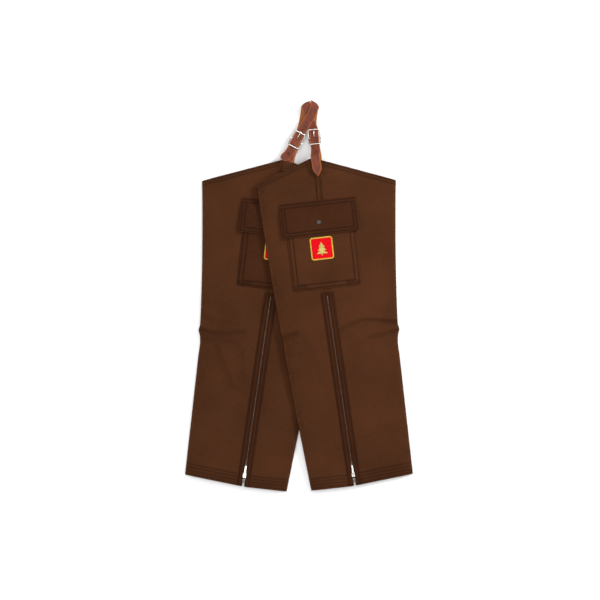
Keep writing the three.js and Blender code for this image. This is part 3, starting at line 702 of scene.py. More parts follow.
def panel_inset(u):
    """The panels stop short of the zip, under the lips."""
    return 0.25 + 6.5 * smooth(ZIP_TOP - 4, ZIP_TOP + 6, u)


def layer_inset(u):
    """The inner layers end beside the zip tape."""
    return 16 + 0 * u


def lip_grid(leg, side, lift):
    u = np.linspace(ZIP_TOP - 3, LEG_LENGTH - 1, 150)[:, None]
    across = np.linspace(0, 1, 15)[None, :]
    offset = lerp(zip_gap(u), LIP_OUTER, across)
    v = seam_line(u) + side * offset
    u = np.broadcast_to(u, v.shape)
    u = np.minimum(u, hem_line(v) - 0.6)
    roll = 0.5 * np.sin(math.pi * across) ** 0.6
    spread = smooth(SLIT_START, SLIDER_U, u) * (1 - across) * 1.6
    z = leg.top(u, v) + LIP_CLEARANCE + lift + roll + spread
    # Painted shade along the lip's two rows of stitching.
    seam = np.maximum(bump(across, 0.28, 0.1), bump(across, 0.86, 0.1))
    return leg.world(u, v, z), 0.5 * bump(across, 0, 0.12) + 0 * u, 0.8 * seam + 0 * u


def build_shell(leg):
    side_name, canvas = leg.side, CANVAS_OF[leg.side]
    for side, name in ((1, "front_panel"), (-1, "rear_panel")):
        # seam holds the painted shade of the creases and rows of stitching.
        outer, wear, seam = shell_grid(leg, side, 0.0, panel_inset)
        inner = shell_grid(leg, side, CANVAS, panel_inset)[0]
        shell = sheet_object(f"{side_name}_{name}_canvas", outer, inner, canvas, wear, seam=seam)
        settle(shell, leg.body, "canvas", f"{side_name}_{name}")
    layers = [("liner", 4.8, 5.4, LINING, "lining", (0.004, 0.996), (1, -1)),
              ("cut_pad", 2.1, 4.5, PADDING, "padding", (0.05, 0.95), (1,)),
              ("top_facing", 1.5, 2.1, LINING, "lining", (0.002, 0.04), (1, -1)),
              ("hem_facing", 1.5, 2.1, LINING, "lining", (0.96, 0.998), (1, -1))]
    for name, near, far, material, slot, ends, sides in layers:
        for side in sides:
            rows = max(8, int(PANEL_ROWS * (ends[1] - ends[0])))
            outer = shell_grid(leg, side, near, layer_inset, rows, ends)[0]
            inner = shell_grid(leg, side, far, layer_inset, rows, ends)[0]
            half = "front" if side > 0 else "rear"
            layer = sheet_object(f"{side_name}_{name}_{half}_cloth", outer, inner, material)
            settle(layer, leg.body, slot, f"{side_name}_{name}")
    # The lips use the darker canvas as painted shade for the dark bands beside the zip.
    for side, name in ((1, "lip_front"), (-1, "lip_rear")):
        outer, wear, seam = lip_grid(leg, side, LIP_THICKNESS)
        inner = lip_grid(leg, side, 0.0)[0]
        lip = sheet_object(f"{side_name}_{name}_canvas", outer, inner, DEEP_OF[side_name], wear, seam=seam)
        settle(lip, leg.body, "canvas", f"{side_name}_{name}")


# ---------------------------------------------------------------- pocket

def edge_falloff(u, v, u0, u1, v0, v1, reach):
    inside = np.minimum(np.minimum(u - u0, u1 - u), np.minimum(v - v0, v1 - v))
    return 1 - np.exp(-np.maximum(0, inside) / reach)


def pocket_top(leg):
    def height(u, v):
        puff = edge_falloff(u, v, POCKET_MOUTH - 60, POCKET_BOTTOM, POCKET_REAR, POCKET_FRONT, 13)
        sag = 0.7 * perlin(u, v, 55, leg.seed + 11) + 0.35 * perlin(u, v, 22, leg.seed + 12)
        return leg.raise_at(u, v) + LEG_HEIGHT + 1.9 + 4.1 * puff + sag * puff
    return height


def flap_top(leg):
    def height(u, v):
        rise = smooth(FLAP_TOP - 4, FLAP_TOP + 38, u)
        sides = edge_falloff(u, v, FLAP_TOP - 200, FLAP_BOTTOM + 200, FLAP_REAR - 2, FLAP_FRONT + 2, 10)
        sag = 0.8 * perlin(u, v, 60, leg.seed + 21) * smooth(FLAP_TOP + 4, FLAP_TOP + 30, u)
        tip = 0.6 * smooth(FLAP_BOTTOM - 14, FLAP_BOTTOM, u)
        return leg.raise_at(u, v) + LEG_HEIGHT + 2.1 + 9.2 * rise * (0.75 + 0.25 * sides) + sag - tip
    return height


def rounded_grid(u0, u1, v0, v1, radius, rows, columns, skew=0.0):
    """A rectangle of (u, v) points with rounded lower corners, leaning by skew across its width."""
    a = np.linspace(0, 1, rows)[:, None]
    b = np.linspace(-1, 1, columns)[None, :]
    a = 1 - (1 - a) ** 1.15
    b = np.sign(b) * (1 - (1 - np.abs(b)) ** 1.15)
    u = lerp(u0, u1, a) + 0 * b
    half, middle = (v1 - v0) / 2, (v0 + v1) / 2
    left = np.maximum(0, radius - (u1 - u))
    pinch = radius - np.sqrt(np.maximum(0, radius ** 2 - left ** 2))
    v = middle + b * (half - pinch)
    return u + skew * (v - middle), v


def open_row(mouth, bottom, rear, front, inset):
    """A row of stitching down one side, along the bottom and up the other side."""
    return [(mouth, rear + inset), (bottom - inset, rear + inset), (bottom - inset, front - inset),
            (mouth, front - inset)]


def build_pocket(leg):
    name = leg.side
    pocket_cloth = DEEP_OF[name] if name == "left" else CANVAS_OF[name]
    top = pocket_top(leg)
    u, v = rounded_grid(POCKET_MOUTH, POCKET_BOTTOM, POCKET_REAR, POCKET_FRONT, 7, 60, 60)
    z = top(u, v)
    outer, inner = leg.world(u, v, z), leg.world(u, v, z - 1.3)
    edge = 1 - edge_falloff(u, v, -1000, POCKET_BOTTOM, POCKET_REAR, POCKET_FRONT, 3)
    pocket_rows = [open_row(POCKET_MOUTH + 4, POCKET_BOTTOM, POCKET_REAR, POCKET_FRONT, inset)
                   for inset in POCKET_INSETS]
    front = sheet_object(f"{name}_pocket_front_canvas", outer, inner, pocket_cloth, edge * 0.5,
                         seam=seam_shade(u, v, pocket_rows))
    settle(front, leg.body, "canvas" if name == "right" else "dark_canvas", f"{name}_pocket_front")

    # The bellows folds inward under the edge of the pocket front
    u0, u1, v0, v1 = POCKET_MOUTH, POCKET_BOTTOM, POCKET_REAR, POCKET_FRONT
    walk = [(u0, v0), (u1 - 7, v0), (u1 - 2, v0 + 2), (u1, v0 + 7), (u1, v1 - 7), (u1 - 2, v1 - 2),
            (u1 - 7, v1), (u0, v1)]
    us = np.interp(np.linspace(0, 7, 141), range(8), [p[0] for p in walk])
    vs = np.interp(np.linspace(0, 7, 141), range(8), [p[1] for p in walk])
    middle_u, middle_v = (u0 + u1) / 2, (v0 + v1) / 2
    length = np.hypot(us - middle_u, vs - middle_v)
    toward_u, toward_v = (middle_u - us) / length, (middle_v - vs) / length
    profile = [(1.2, 0.95), (7.0, 0.62), (7.6, 0.5), (7.0, 0.38), (-0.6, 0.06), (-1.6, 0.0)]
    rows_outer, rows_inner = [], []
    for inward, level in profile:
        pu, pv = us + toward_u * inward, vs + toward_v * inward
        ground = leg.raise_at(pu, pv) + LEG_HEIGHT + 0.4
        roof = top(np.clip(pu, -999, u1), np.clip(pv, v0, v1)) - 1.6
        height = lerp(ground, roof, level)
        rows_outer.append(leg.world(pu, pv, height))
        rows_inner.append(leg.world(pu + toward_u * 0.9, pv + toward_v * 0.9, height + 0.1))
    gusset = sheet_object(f"{name}_pocket_bellows", np.array(rows_outer), np.array(rows_inner), DEEP_OF[name])
    settle(gusset, leg.body, "dark_canvas", f"{name}_pocket_gusset")

    top_of_flap = flap_top(leg)
    u, v = rounded_grid(FLAP_TOP, FLAP_BOTTOM, FLAP_REAR, FLAP_FRONT, 5, 44, 70)
    z = top_of_flap(u, v)
    edge = 1 - edge_falloff(u, v, FLAP_TOP, FLAP_BOTTOM, FLAP_REAR, FLAP_FRONT, 3)
    rows = [[(FLAP_TOP + inset, FLAP_REAR + 3), (FLAP_TOP + inset, FLAP_FRONT - 3)]
            for inset in FLAP_TOP_INSETS]
    rows += [open_row(FLAP_TOP + 14, FLAP_BOTTOM, FLAP_REAR, FLAP_FRONT, inset)
             for inset in FLAP_INSETS]
    flap = sheet_object(f"{name}_flap_canvas", leg.world(u, v, z), leg.world(u, v, z - 1.8), DEEP_OF[name],
                        edge * 0.6, 3, seam_shade(u, v, rows))
    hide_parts(f"{name}_pocket_flap")
    leg.world(u, v, z)
    paths = [surface_path(leg, top_of_flap, row) for row in rows]
    seams = stitch_object(f"{name}_flap_stitching", paths, THREAD)
    for piece in (flap, seams):
        if name == "left":
            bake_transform(piece)
        else:
            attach(piece, "right_flap")

    tack = [[(POCKET_BOTTOM - 14 + k * 2.2, start), (POCKET_BOTTOM - 14 + k * 2.2, start + 40)]
            for k in range(4) for start in (POCKET_REAR + 3, POCKET_FRONT - 43)]
    paths = [surface_path(leg, top, row) for row in pocket_rows + tack]
    seams = stitch_object(f"{name}_pocket_stitching", paths, THREAD)
    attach(seams, leg.body)


# ---------------------------------------------------------------- patch

def build_patch(leg):
    """Embroidered patch with a merrowed border and a plain conifer."""
    name, top = leg.side, pocket_top(leg)
    half, corner = PATCH_HALF, 6.0
    rows = []
    for ring in np.linspace(1, 0.02, 16):
        angles = np.linspace(0, 2 * math.pi, 97)[:-1]
        square = np.maximum(np.abs(np.cos(angles)) ** 1, np.abs(np.sin(angles)))
        reach = np.minimum(half / square, (half - corner) * math.sqrt(2) + corner)
        rows.append((PATCH_U + ring * reach * np.sin(angles), PATCH_V + ring * reach * np.cos(angles)))
    u, v = np.array([r[0] for r in rows]), np.array([r[1] for r in rows])
    ground = top(u, v)
    face = leg.world(u, v, ground + 1.5).reshape(-1, 3)
    skirt = leg.world(u[0], v[0], ground[0] + 0.1)
    points = np.concatenate([face, skirt])
    sides = 96
    faces = ring_faces(len(rows), sides)
    last = (len(rows) - 1) * sides
    faces.append(tuple(last + k for k in range(sides)))
    base = len(face)
    faces += [(j, (j + 1) % sides, base + (j + 1) % sides, base + j) for j in range(sides)]
    faces.append(tuple(base + k for k in range(sides - 1, -1, -1)))
    ground_piece = new_object(f"{name}_patch_ground", points, faces, RED_FLOSS)
    fix_normals(ground_piece)
    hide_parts(f"{name}_patch")

    edge_u, edge_v = u[0], v[0]
    count = 260
    t = np.linspace(0, sides, count, endpoint=False)
    loop_u = np.interp(t, np.arange(sides + 1), np.append(edge_u, edge_u[0]))
    loop_v = np.interp(t, np.arange(sides + 1), np.append(edge_v, edge_v[0]))
    path = leg.world(loop_u, loop_v, top(loop_u, loop_v) + 1.1)
    radii = (2.0 + 0.22 * np.cos(np.arange(count) * math.pi)) * MM
    points, faces = tube_mesh(path, radii, 10, True, 0.75)
    border = new_object(f"{name}_patch_border", points, faces, GOLD_FLOSS)

    def face_height(a, b):
        return top(a, b) + 1.6

    # Three stacked boughs and a trunk, in rows of satin stitch
    boughs = []
    for top_u, low_u, width in ((-17, -4, 9), (-8, 6, 12.5), (2, 15, 16)):
        for level in np.arange(top_u, low_u, 0.9):
            reach = width * (level - top_u + 1.2) / (low_u - top_u + 1.2)
            boughs.append([(PATCH_U + level, PATCH_V - reach), (PATCH_U + level, PATCH_V + reach)])
    for level in np.arange(15, 20, 0.9):
        boughs.append([(PATCH_U + level, PATCH_V - 2), (PATCH_U + level, PATCH_V + 2)])
    emblem = stitch_object(f"{name}_patch_conifer", [surface_path(leg, face_height, b, 2.0) for b in boughs],
                           PALE_FLOSS, 2.2, 2.4, 0.6)
    for piece in (ground_piece, border, emblem):
        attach(piece, leg.body)


# ---------------------------------------------------------------- zip

def zip_point(leg, u, offset, z):
    """A point by the zip: distance down the leg, offset across it and height above the underside."""
    seam = seam_line(u)
    return leg.world(u, seam + offset, leg.raise_at(u, seam) + z)


def plate(outline, low, high, bevel):
    """Points and faces of a flat plate with bevelled edges; the outline runs anticlockwise."""
    line = np.array(outline, float)
    ahead, behind = np.roll(line, -1, 0) - line, line - np.roll(line, 1, 0)
    normal = ahead / np.linalg.norm(ahead, axis=1)[:, None] + behind / np.linalg.norm(behind, axis=1)[:, None]
    normal = np.stack([-normal[:, 1], normal[:, 0]], 1)
    normal /= np.maximum(0.2, np.linalg.norm(normal, axis=1))[:, None]
    small = line + normal * bevel
    levels = [(small, low), (line, low + bevel), (line, high - bevel), (small, high)]
    points = np.concatenate([np.column_stack([shape, np.full(len(line), z)]) for shape, z in levels])
    sides = len(line)
    faces = ring_faces(4, sides)
    faces.append(tuple(range(sides - 1, -1, -1)))
    faces.append(tuple(3 * sides + k for k in range(sides)))
    return points, faces


def rounded_outline(half_width, start, end, corner, taper=1.0, steps=5):
    """Across and along coordinates of a rounded rectangle, narrowed to taper times its width at the end."""
    points = []
    corners = [(half_width, start, -90), (half_width * taper, end, 0), (-half_width * taper, end, 90),
               (-half_width, start, 180)]
    for x, y, first in corners:
        cx, cy = x - math.copysign(corner, x), y + (corner if y == start else -corner)
        for k in range(steps + 1):
            angle = math.radians(first + 90 * k / steps)
            points.append((cx + corner * math.cos(angle), cy + corner * math.sin(angle)))
    return points


def on_zip(leg, points, place, lean=0.0):
    """Local points (across, up the zip, height) laid on the zip about a place down it."""
    across, up, z = np.asarray(points, float).T
    return zip_point(leg, place - up, across, z + lean * up)


def build_zip(leg):
    name = leg.side
    for side, half in ((1, "front"), (-1, "rear")):
        u = np.linspace(ZIP_TOP + 4, LEG_LENGTH - 2, 120)[:, None] + np.zeros((1, 6))
        offset = side * np.linspace(2.4, 15, 6)[None, :] + side * 1.6 * smooth(SLIDER_U, LEG_LENGTH, u)
        ripple = 0.2 * np.sin(u / 4.2)
        outer = zip_point(leg, u, offset, TAPE_TOP + ripple)
        inner = zip_point(leg, u, offset, TAPE_TOP - 0.8 + ripple)
        tape = sheet_object(f"{name}_tape_{half}", outer, inner, TAPE)
        settle(tape, leg.body, "zip_tape", f"{name}_zip_tape_{half}")

    parts = []
    for k, u in enumerate(np.arange(ZIP_TOP + 12, SLIDER_U - 8, 1.7)):
        side = 1 if k % 2 else -1
        line = rounded_outline(2.0, -0.62, 0.62, 0.4, 1.0, 1)
        points, faces = plate(line, CHAIN_MIDDLE - 1.0, CHAIN_MIDDLE + 1.1, 0.25)
        points = np.array(points)
        points[:, 0] += side * 1.25
        parts.append((on_zip(leg, points, u), faces))
    for u, length in ((ZIP_TOP + 9, 4.0), (SLIDER_U + 13, 5.0)):
        stop = rounded_outline(4.0, -length / 2, length / 2, 1.0)
        points, faces = plate(stop, CHAIN_MIDDLE - 1.3, CHAIN_MIDDLE + 1.6, 0.4)
        parts.append((on_zip(leg, points, u), faces))
    points, faces = merge(parts)
    chain = new_object(f"{name}_zip_teeth", points, faces, DULL_TEETH, smooth_shade=False)
    settle(chain, leg.body, "nickel", f"{name}_zip_chain", f"{name}_zip_top_stop", f"{name}_zip_bottom_stop")

    # Slider: two plates joined by a wedge, with a bridge for the pull
    upper, lower = CHAIN_MIDDLE + 1.5, CHAIN_MIDDLE - 1.4
    body_line = rounded_outline(4.7, -7.5, 7.5, 1.6, 0.78)
    parts = [plate(body_line, upper, upper + 1.0, 0.35), plate(body_line, lower - 1.1, lower, 0.4),
             plate(rounded_outline(1.2, -7, -2, 0.5), lower - 0.1, upper + 0.1, 0.02)]
    for side in (-1, 1):
        line = [(side * 4.1 + a, b) for a, b in rounded_outline(0.5, -7, 4, 0.3)]
        parts.append(plate(line, lower - 0.1, upper - 0.5, 0.1))
    arch = [(0, -3.4 + 6.0 * t, upper + 0.8 + 3.6 * math.sin(math.pi * t) ** 0.8)
            for t in np.linspace(0, 1, 15)]
    parts.append(tube_mesh(arch, np.full(15, 0.85), 10, up=(1, 0, 0)))
    points, faces = merge(parts)
    points = on_zip(leg, points, SLIDER_U)
    slider = new_object(f"{name}_slider_body", points, faces, NICKEL, smooth_shade=False)
    settle(slider, f"{name}_slider", "nickel", f"{name}_zip_slider")

    # Pull: a tapered tab with an eye round the bridge
    ring = [(2.1 * math.cos(angle), 2.2 + 2.3 * math.sin(angle), PULL_TOP - 0.6)
            for angle in np.linspace(0, 2 * math.pi, 25)[:-1]]
    tab = rounded_outline(3.0, 4.2, 27.0, 1.3, 0.72)
    eye = tube_mesh(ring, np.full(24, 0.75), 10, True)
    points, faces = merge([eye, plate(tab, PULL_TOP - 1.3, PULL_TOP, 0.35)])
    points = on_zip(leg, points, SLIDER_U)
    tab_object = new_object(f"{name}_pull_tab", points, faces, NICKEL, smooth_shade=False)
    settle(tab_object, f"{name}_pull", "nickel", f"{name}_zip_pull")


# ---------------------------------------------------------------- snap

def lathe(profile, sides=32):
    """Points and faces of a turned solid; the profile runs from the axis back to the axis."""
    angles = np.arange(sides) * 2 * math.pi / sides
    rings = [np.column_stack([r * np.cos(angles), r * np.sin(angles), np.full(sides, z)])
             for r, z in profile[1:-1]]
    points = np.concatenate(rings + [np.array([[0, 0, profile[0][1]], [0, 0, profile[-1][1]]])])
    faces = ring_faces(len(rings), sides)
    first, last = len(points) - 2, len(points) - 1
    base = (len(rings) - 1) * sides
    faces += [(first, (j + 1) % sides, j) for j in range(sides)]
    faces += [(last, base + j, base + (j + 1) % sides) for j in range(sides)]
    return points, faces


def build_snap(leg):
    name = leg.side
    flap = float(flap_top(leg)(np.array([SNAP_U]), np.array([SNAP_V]))[0])
    pocket = float(pocket_top(leg)(np.array([SNAP_U]), np.array([SNAP_V]))[0])
    cap = [(0, -0.2), (6.9, -0.2), (7.2, 0.15), (7.1, 0.6), (6.2, 1.1), (5.3, 1.2), (4.9, 0.95), (3.6, 1.3),
           (1.6, 1.5), (0, 1.55)]
    socket = [(0, 0.7), (2.7, 0.7), (2.9, 0.0), (5.6, 0.0), (6.0, 0.3), (6.0, 1.0), (5.6, 1.3), (0, 1.3)]
    stud = [(0, 0), (6.0, 0), (6.1, 0.3), (5.6, 0.7), (2.6, 0.8), (2.3, 1.1), (2.5, 1.7), (1.9, 2.1),
            (0, 2.1)]
    carrier = leg.body if name == "left" else "right_flap"
    turned = (("snap_cap", cap, flap, carrier), ("snap_socket", socket, flap - 3.2, carrier),
              ("snap_stud", stud, pocket, leg.body))
    for node, profile, height, body in turned:
        points, faces = lathe(profile)
        u, v = SNAP_U - points[:, 1], SNAP_V + points[:, 0]
        piece = new_object(f"{name}_{node}_metal", leg.world(u, v, height + points[:, 2]), faces, GUNMETAL)
        fix_normals(piece)
        settle(piece, body, "gunmetal", f"{name}_{node}")


# ---------------------------------------------------------------- straps and buckles

SHIFT = np.array([-2.75, -4.7983, 0.0])


class Seat:
    """Frame of a buckle: the middle bar is its X axis and the strap runs along its Y axis."""

    def __init__(self, x, y, z, turn, pitch):
        self.turn = turn
        a, b = math.radians(turn), math.radians(-pitch)
        about_z = np.array([[math.cos(a), -math.sin(a), 0], [math.sin(a), math.cos(a), 0], [0, 0, 1]])
        about_x = np.array([[1, 0, 0], [0, math.cos(b), -math.sin(b)], [0, math.sin(b), math.cos(b)]])
        self.matrix = about_z @ about_x
        self.origin = np.array([x, y, z])

    def place(self, points):
        return (np.asarray(points, float) @ self.matrix.T + self.origin + SHIFT) * MM

    def station(self, y, z, turn=None):
        x, y, z = self.matrix @ np.array([0, y, z]) + self.origin
        return [x, y, z, self.turn if turn is None else turn]


SEATS = {"left": Seat(-4, 448.6, 19.8, -28.7, 4), "right": Seat(46.6, 453.7, 26.3, 5.7, 19)}


def smooth_curve(points, t):
    """Centripetal Catmull-Rom through the points, at t from 0 to 1."""
    last = len(points) - 1
    place = t * last
    i = min(int(place), last - 1)
    w = place - i
    p1, p2 = points[i], points[i + 1]
    p0 = points[i - 1] if i > 0 else 2 * p1 - p2
    p3 = points[i + 2] if i + 2 <= last else 2 * p2 - p1
    d0, d1, d2 = (max(1e-4, np.linalg.norm(b - a)) ** 0.5 for a, b in ((p0, p1), (p1, p2), (p2, p3)))
    t1 = ((p1 - p0) / d0 - (p2 - p0) / (d0 + d1) + (p2 - p1) / d1) * d1
    t2 = ((p2 - p1) / d1 - (p3 - p1) / (d1 + d2) + (p3 - p2) / d2) * d1
    return p1 + t1 * w + (-3 * p1 + 3 * p2 - 2 * t1 - t2) * w ** 2 + (2 * p1 - 2 * p2 + t1 + t2) * w ** 3


def ribbon_object(name, stations, width, thickness, steps, point=0.0, sharpness=1.7, crown=0.0):
    """A leather strap through [x, y, z, turn] stations: grain outside, flesh inside, its edges rounded.

    Its far end is cut to a point. The crown rounds its fold down at one corner, which its sign picks.
    """
    stations = np.array(stations, float)
    ts = np.linspace(0, 1, steps + 1)
    centre = np.array([smooth_curve(stations[:, :3], t) for t in ts])
    turns = np.radians(np.interp(ts * (len(stations) - 1), range(len(stations)), stations[:, 3]))
    across = np.stack([np.cos(turns), np.sin(turns), 0 * turns], 1)
    tangent = np.gradient(centre, axis=0)
    normal = np.cross(across, tangent)
    normal /= np.linalg.norm(normal, axis=1)[:, None]
    length = np.concatenate([[0], np.cumsum(np.linalg.norm(np.diff(centre, axis=0), axis=1))])
    left = length[-1] - length
    half = np.full(steps + 1, width / 2)
    if point:
        x = np.clip(left / point, 0.0, 1)
        half = width / 2 * np.maximum(0.06, (1 - (1 - x) ** sharpness) ** (0.5 if sharpness > 1.5 else 0.8))
    corner = thickness * 0.45
    flat = np.linspace(-1, 1, 13)
    section = [(a, thickness / 2, 0.0) for a in flat]
    section += [(1, thickness / 2 * math.cos(b), math.sin(b)) for b in np.radians([36, 72, 108, 144])]
    section += [(a, -thickness / 2, 0.0) for a in flat[::-1]]
    section += [(-1, -thickness / 2 * math.cos(b), math.sin(b)) for b in np.radians([36, 72, 108, 144])]
    section = np.array(section)
    reach = np.sign(section[:, 0]) * corner * section[:, 2]
    offset = section[None, :, 0] * (half - corner)[:, None] + reach[None, :]
    points = centre[:, None] + across[:, None] * offset[..., None]
    points = points + normal[:, None] * section[None, :, 1, None]
    fold = np.exp(-(((centre[:, 1].max() - centre[:, 1]) / 9) ** 2))
    outer_side = np.maximum(0, np.sign(crown) * section[None, :, 0])
    points[..., 1] -= abs(crown) * fold[:, None] * outer_side ** 2
    flesh = 0.75 * (section[:, 1] > 0.4 * thickness)
    edges = np.maximum(section[:, 2], 0.55 * (np.abs(section[:, 0]) > 0.95))
    wear = np.broadcast_to(np.maximum(flesh, edges), offset.shape).copy()
    wear[left < 1.2] = 1.0
    sides = len(section)
    faces = ring_faces(steps + 1, sides)
    faces.append(tuple(range(sides - 1, -1, -1)))
    faces.append(tuple(steps * sides + k for k in range(sides)))
    strap = new_object(name, (points.reshape(-1, 3) + SHIFT) * MM, faces, LEATHER, {"wear": wear.ravel()})
    fix_normals(strap)
    return strap, centre, normal, length


def punch(strap, cutters):
    """Cut the holes away: each cutter is a closed mesh of points and faces in metres."""
    points, faces = merge(cutters)
    tool = new_object(f"{strap.name}_punch", points, faces, LEATHER, {"wear": np.ones(len(points))}, False)
    fix_normals(tool)
    cut = strap.modifiers.new("holes", "BOOLEAN")
    cut.operation, cut.object, cut.solver = "DIFFERENCE", tool, "EXACT"
    graph = bpy.context.evaluated_depsgraph_get()
    mesh = bpy.data.meshes.new_from_object(strap.evaluated_get(graph))
    strap.modifiers.clear()
    strap.data = mesh
    bpy.data.objects.remove(tool)


def slot_cutter(seat, start, length, half_width, low=-8.0, high=12.0):
    line = rounded_outline(half_width, start, start + length, half_width * 0.95, 1.0, 6)
    points, faces = plate(line, low, high, 0.01)
    return seat.place(points), faces


def hole_cutter(centre, normal, length, distance, radius=2.1, reach=6.0):
    """A round punch through the strap at a distance along it."""
    middle = np.array([np.interp(distance, length, centre[:, k]) for k in range(3)])
    axis = np.array([np.interp(distance, length, normal[:, k]) for k in range(3)])
    axis /= np.linalg.norm(axis)
    ends = [middle - axis * reach, middle + axis * reach]
    points, faces = tube_mesh(ends, radius, 16, up=(1, 0, 0))
    return (points + SHIFT) * MM, faces


# For each strap, the length and sharpness of its pointed tail, and the crown of its fold
TAIL_AND_CROWN = {"left": (22, 1.35, -5.5), "right": (12, 2.2, 5.5)}
# Distances of a strap's holes from the place where it crosses the buckle's middle bar
HOLE_DISTANCES = (-52, -26, 26, 50)


def build_straps():
    left, right = SEATS["left"], SEATS["right"]
    rise = STRAP_OVER_BAR
    routes = {
        "left": [
            [-24, 370, 9, -12], [-22, 398, 9, -12], [-10, 430, 2.5, -13], [10, 477, 1.6, -13],
            [20, 524, 1.6, -10], [22, 544, 3, 8], [22.4, 554.5, 10, 20], [23, 545, 16.5, 18],
            [30, 521, 17.4, 15], [37, 497, 17.8, 13], right.station(22, rise, 7), right.station(0, rise),
            right.station(-22, rise), right.station(-44, rise + 6), [48.5, 403, 58, 5],
            [51, 388, 60.6, 5], [57, 345, 60.8, 4],
        ],
        "right": [
            [55.5, 370, 41, 0], [54, 400, 41, 0], [49, 430, 27, 0], [42, 466, 8.5, 0],
            [40.5, 505, 5.2, -2], [45, 540, 6.2, -20], [48.4, 554.5, 14, -30], [47.5, 545, 22.4, -30],
            [40.5, 524, 24.2, -29], [24, 496, 25.4, -28], left.station(22, rise), left.station(0, rise),
            left.station(-22, rise), left.station(-40, rise + 2, -29), [-33, 403, 27.5, -30],
            [-44, 391, 28, -31],
        ],
    }
    for name, route in routes.items():
        seat = right if name == "left" else left
        point, sharpness, crown = TAIL_AND_CROWN[name]
        strap, centre, normal, length = ribbon_object(f"{name}_collar_strap", route, STRAP_WIDTH,
                                                      STRAP_THICKNESS, 230, point, sharpness, crown)
        bar = np.argmin(np.linalg.norm(centre - np.array(seat.station(6, rise)[:3]), axis=1))
        cutters = [slot_cutter(seat, 1.0, 9.5, 2.7)]
        for distance in HOLE_DISTANCES:
            if length[bar] - distance < length[-1] - 12:
                cutters.append(hole_cutter(centre, normal, length, length[bar] - distance))
        punch(strap, cutters)
        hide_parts(f"{name}_strap")
        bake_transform(strap)


def build_buckle(name, end, edge, turn):
    seat = SEATS[name]
    # Double-bar frame, bowed so that its end bars pass over the strap and its middle bar under it
    def bow(y):
        return BAR_RISE * (abs(y) / BUCKLE_HALF_LENGTH) ** 1.2

    w, h, r = BUCKLE_HALF_WIDTH, BUCKLE_HALF_LENGTH, 4.5
    loop = []
    turns = ((w - r, h - r, 0), (-w + r, h - r, 90), (-w + r, -h + r, 180), (w - r, -h + r, 270))
    for cx, cy, first in turns:
        for k in range(9):
            angle = math.radians(first + 90 * k / 8)
            loop.append((cx + r * math.cos(angle), cy + r * math.sin(angle)))
    dense = []
    for (x0, y0), (x1, y1) in zip(loop, loop[1:] + loop[:1]):
        n = max(1, int(math.hypot(x1 - x0, y1 - y0) / 1.5))
        dense += [(lerp(x0, x1, k / n), lerp(y0, y1, k / n)) for k in range(n)]
    outer = [(x, y, bow(y)) for x, y in dense]
    middle = [(x, 0, 0) for x in np.linspace(-w, w, 12)]
    parts = [tube_mesh(outer, np.full(len(outer), BAR_RADIUS), 14, True),
             tube_mesh(middle, np.full(12, BAR_RADIUS), 14)]
    points, faces = merge(parts)
    buckle = new_object(f"{name}_buckle_bars", seat.place(points), faces, NICKEL)
    fix_normals(buckle)
    settle(buckle, f"{name}_buckle", "nickel", f"{name}_buckle_frame")

    # Tongue: an eye round the middle bar, then an arm that rests on the lobe-end bar
    eye = BAR_RADIUS + 0.3 + 0.9
    path = [(eye * math.cos(a), eye * math.sin(a)) for a in np.radians(np.arange(430, 144, -18))]
    arm = BAR_RISE + BAR_RADIUS + 0.3 + 1.0
    path += [(3, 6.2), (6.5, 9.4), (10.5, 12.0), (15, arm + 0.3), (19, arm + 0.4), (22.5, arm),
             (24.2, arm - 0.6)]
    path = [(0, y, z) for y, z in path]
    fine = np.array([smooth_curve(np.array(path, float), t) for t in np.linspace(0, 1, 70)])
    taper = 1 - 0.35 * smooth(0.45, 1.0, np.linspace(0, 1, 70))
    points, faces = tube_mesh(fine, 0.95 * taper, 12, flatten=1.9, up=(1, 0, 0))
    tongue = new_object(f"{name}_tongue_wire", seat.place(points), faces, NICKEL)
    fix_normals(tongue)
    settle(tongue, f"{name}_tongue", "nickel", f"{name}_buckle_tongue")

    # Chape: a strap doubled round the middle bar, its two ends going down into the tunnel
    reach = BAR_RADIUS + 0.3 + CHAPE_THICKNESS / 2

    def ply(place, height):
        return [place[0], place[1], place[2] + height, turn]

    upper = CHAPE_THICKNESS + 0.3
    side = reach * 0.7
    around = [(-24, -1.5), (-8, -reach), (0, -reach), (side, -side), (reach, 0), (side, side), (0, reach),
              (-8, reach - 0.3), (-24, 1.5)]
    route = [ply(end, 0), ply(edge, 0)] + [seat.station(y, z) for y, z in around]
    route += [ply(edge, upper), ply(end, upper)]
    chape, _, _, _ = ribbon_object(f"{name}_chape_leather", route, CHAPE_WIDTH, CHAPE_THICKNESS, 150)
    punch(chape, [slot_cutter(seat, -4.5, 14, 2.7)])
    settle(chape, f"{name}_leg", "leather", f"{name}_buckle_chape")


def build_tunnel(leg):
    """The canvas tab sewn over the end of the chape."""
    name = leg.side
    section = [(-22, 0.4), (-18.5, 0.4), (-15.6, 1.4), (-14.2, 4.6), (-12.5, 6.6), (-8, 7.0), (0, 7.1),
               (8, 7.0), (12.5, 6.6), (14.2, 4.6), (15.6, 1.4), (18.5, 0.4), (22, 0.4)]
    v = TUNNEL_V[name] + np.interp(np.linspace(0, 12, 61), range(13), [p[0] for p in section])[None, :]
    rise = np.interp(np.linspace(0, 12, 61), range(13), [p[1] for p in section])[None, :]
    t = np.linspace(0, 1, 14)[:, None]
    u = top_line(v) + lerp(5, 33, t)
    z = LEG_HEIGHT + rise + leg.raise_at(u, v) + 0 * u
    outer, inner = leg.world(u, v + 0 * u, z + 1.2), leg.world(u, v + 0 * u, z)
    edge = np.exp(-np.minimum(t, 1 - t) / 0.08) + 0 * u
    tab = sheet_object(f"{name}_tunnel_canvas", outer, inner, CANVAS_OF[name], edge)
    settle(tab, leg.body, "canvas", f"{name}_strap_tunnel")


# ---------------------------------------------------------------- stitching

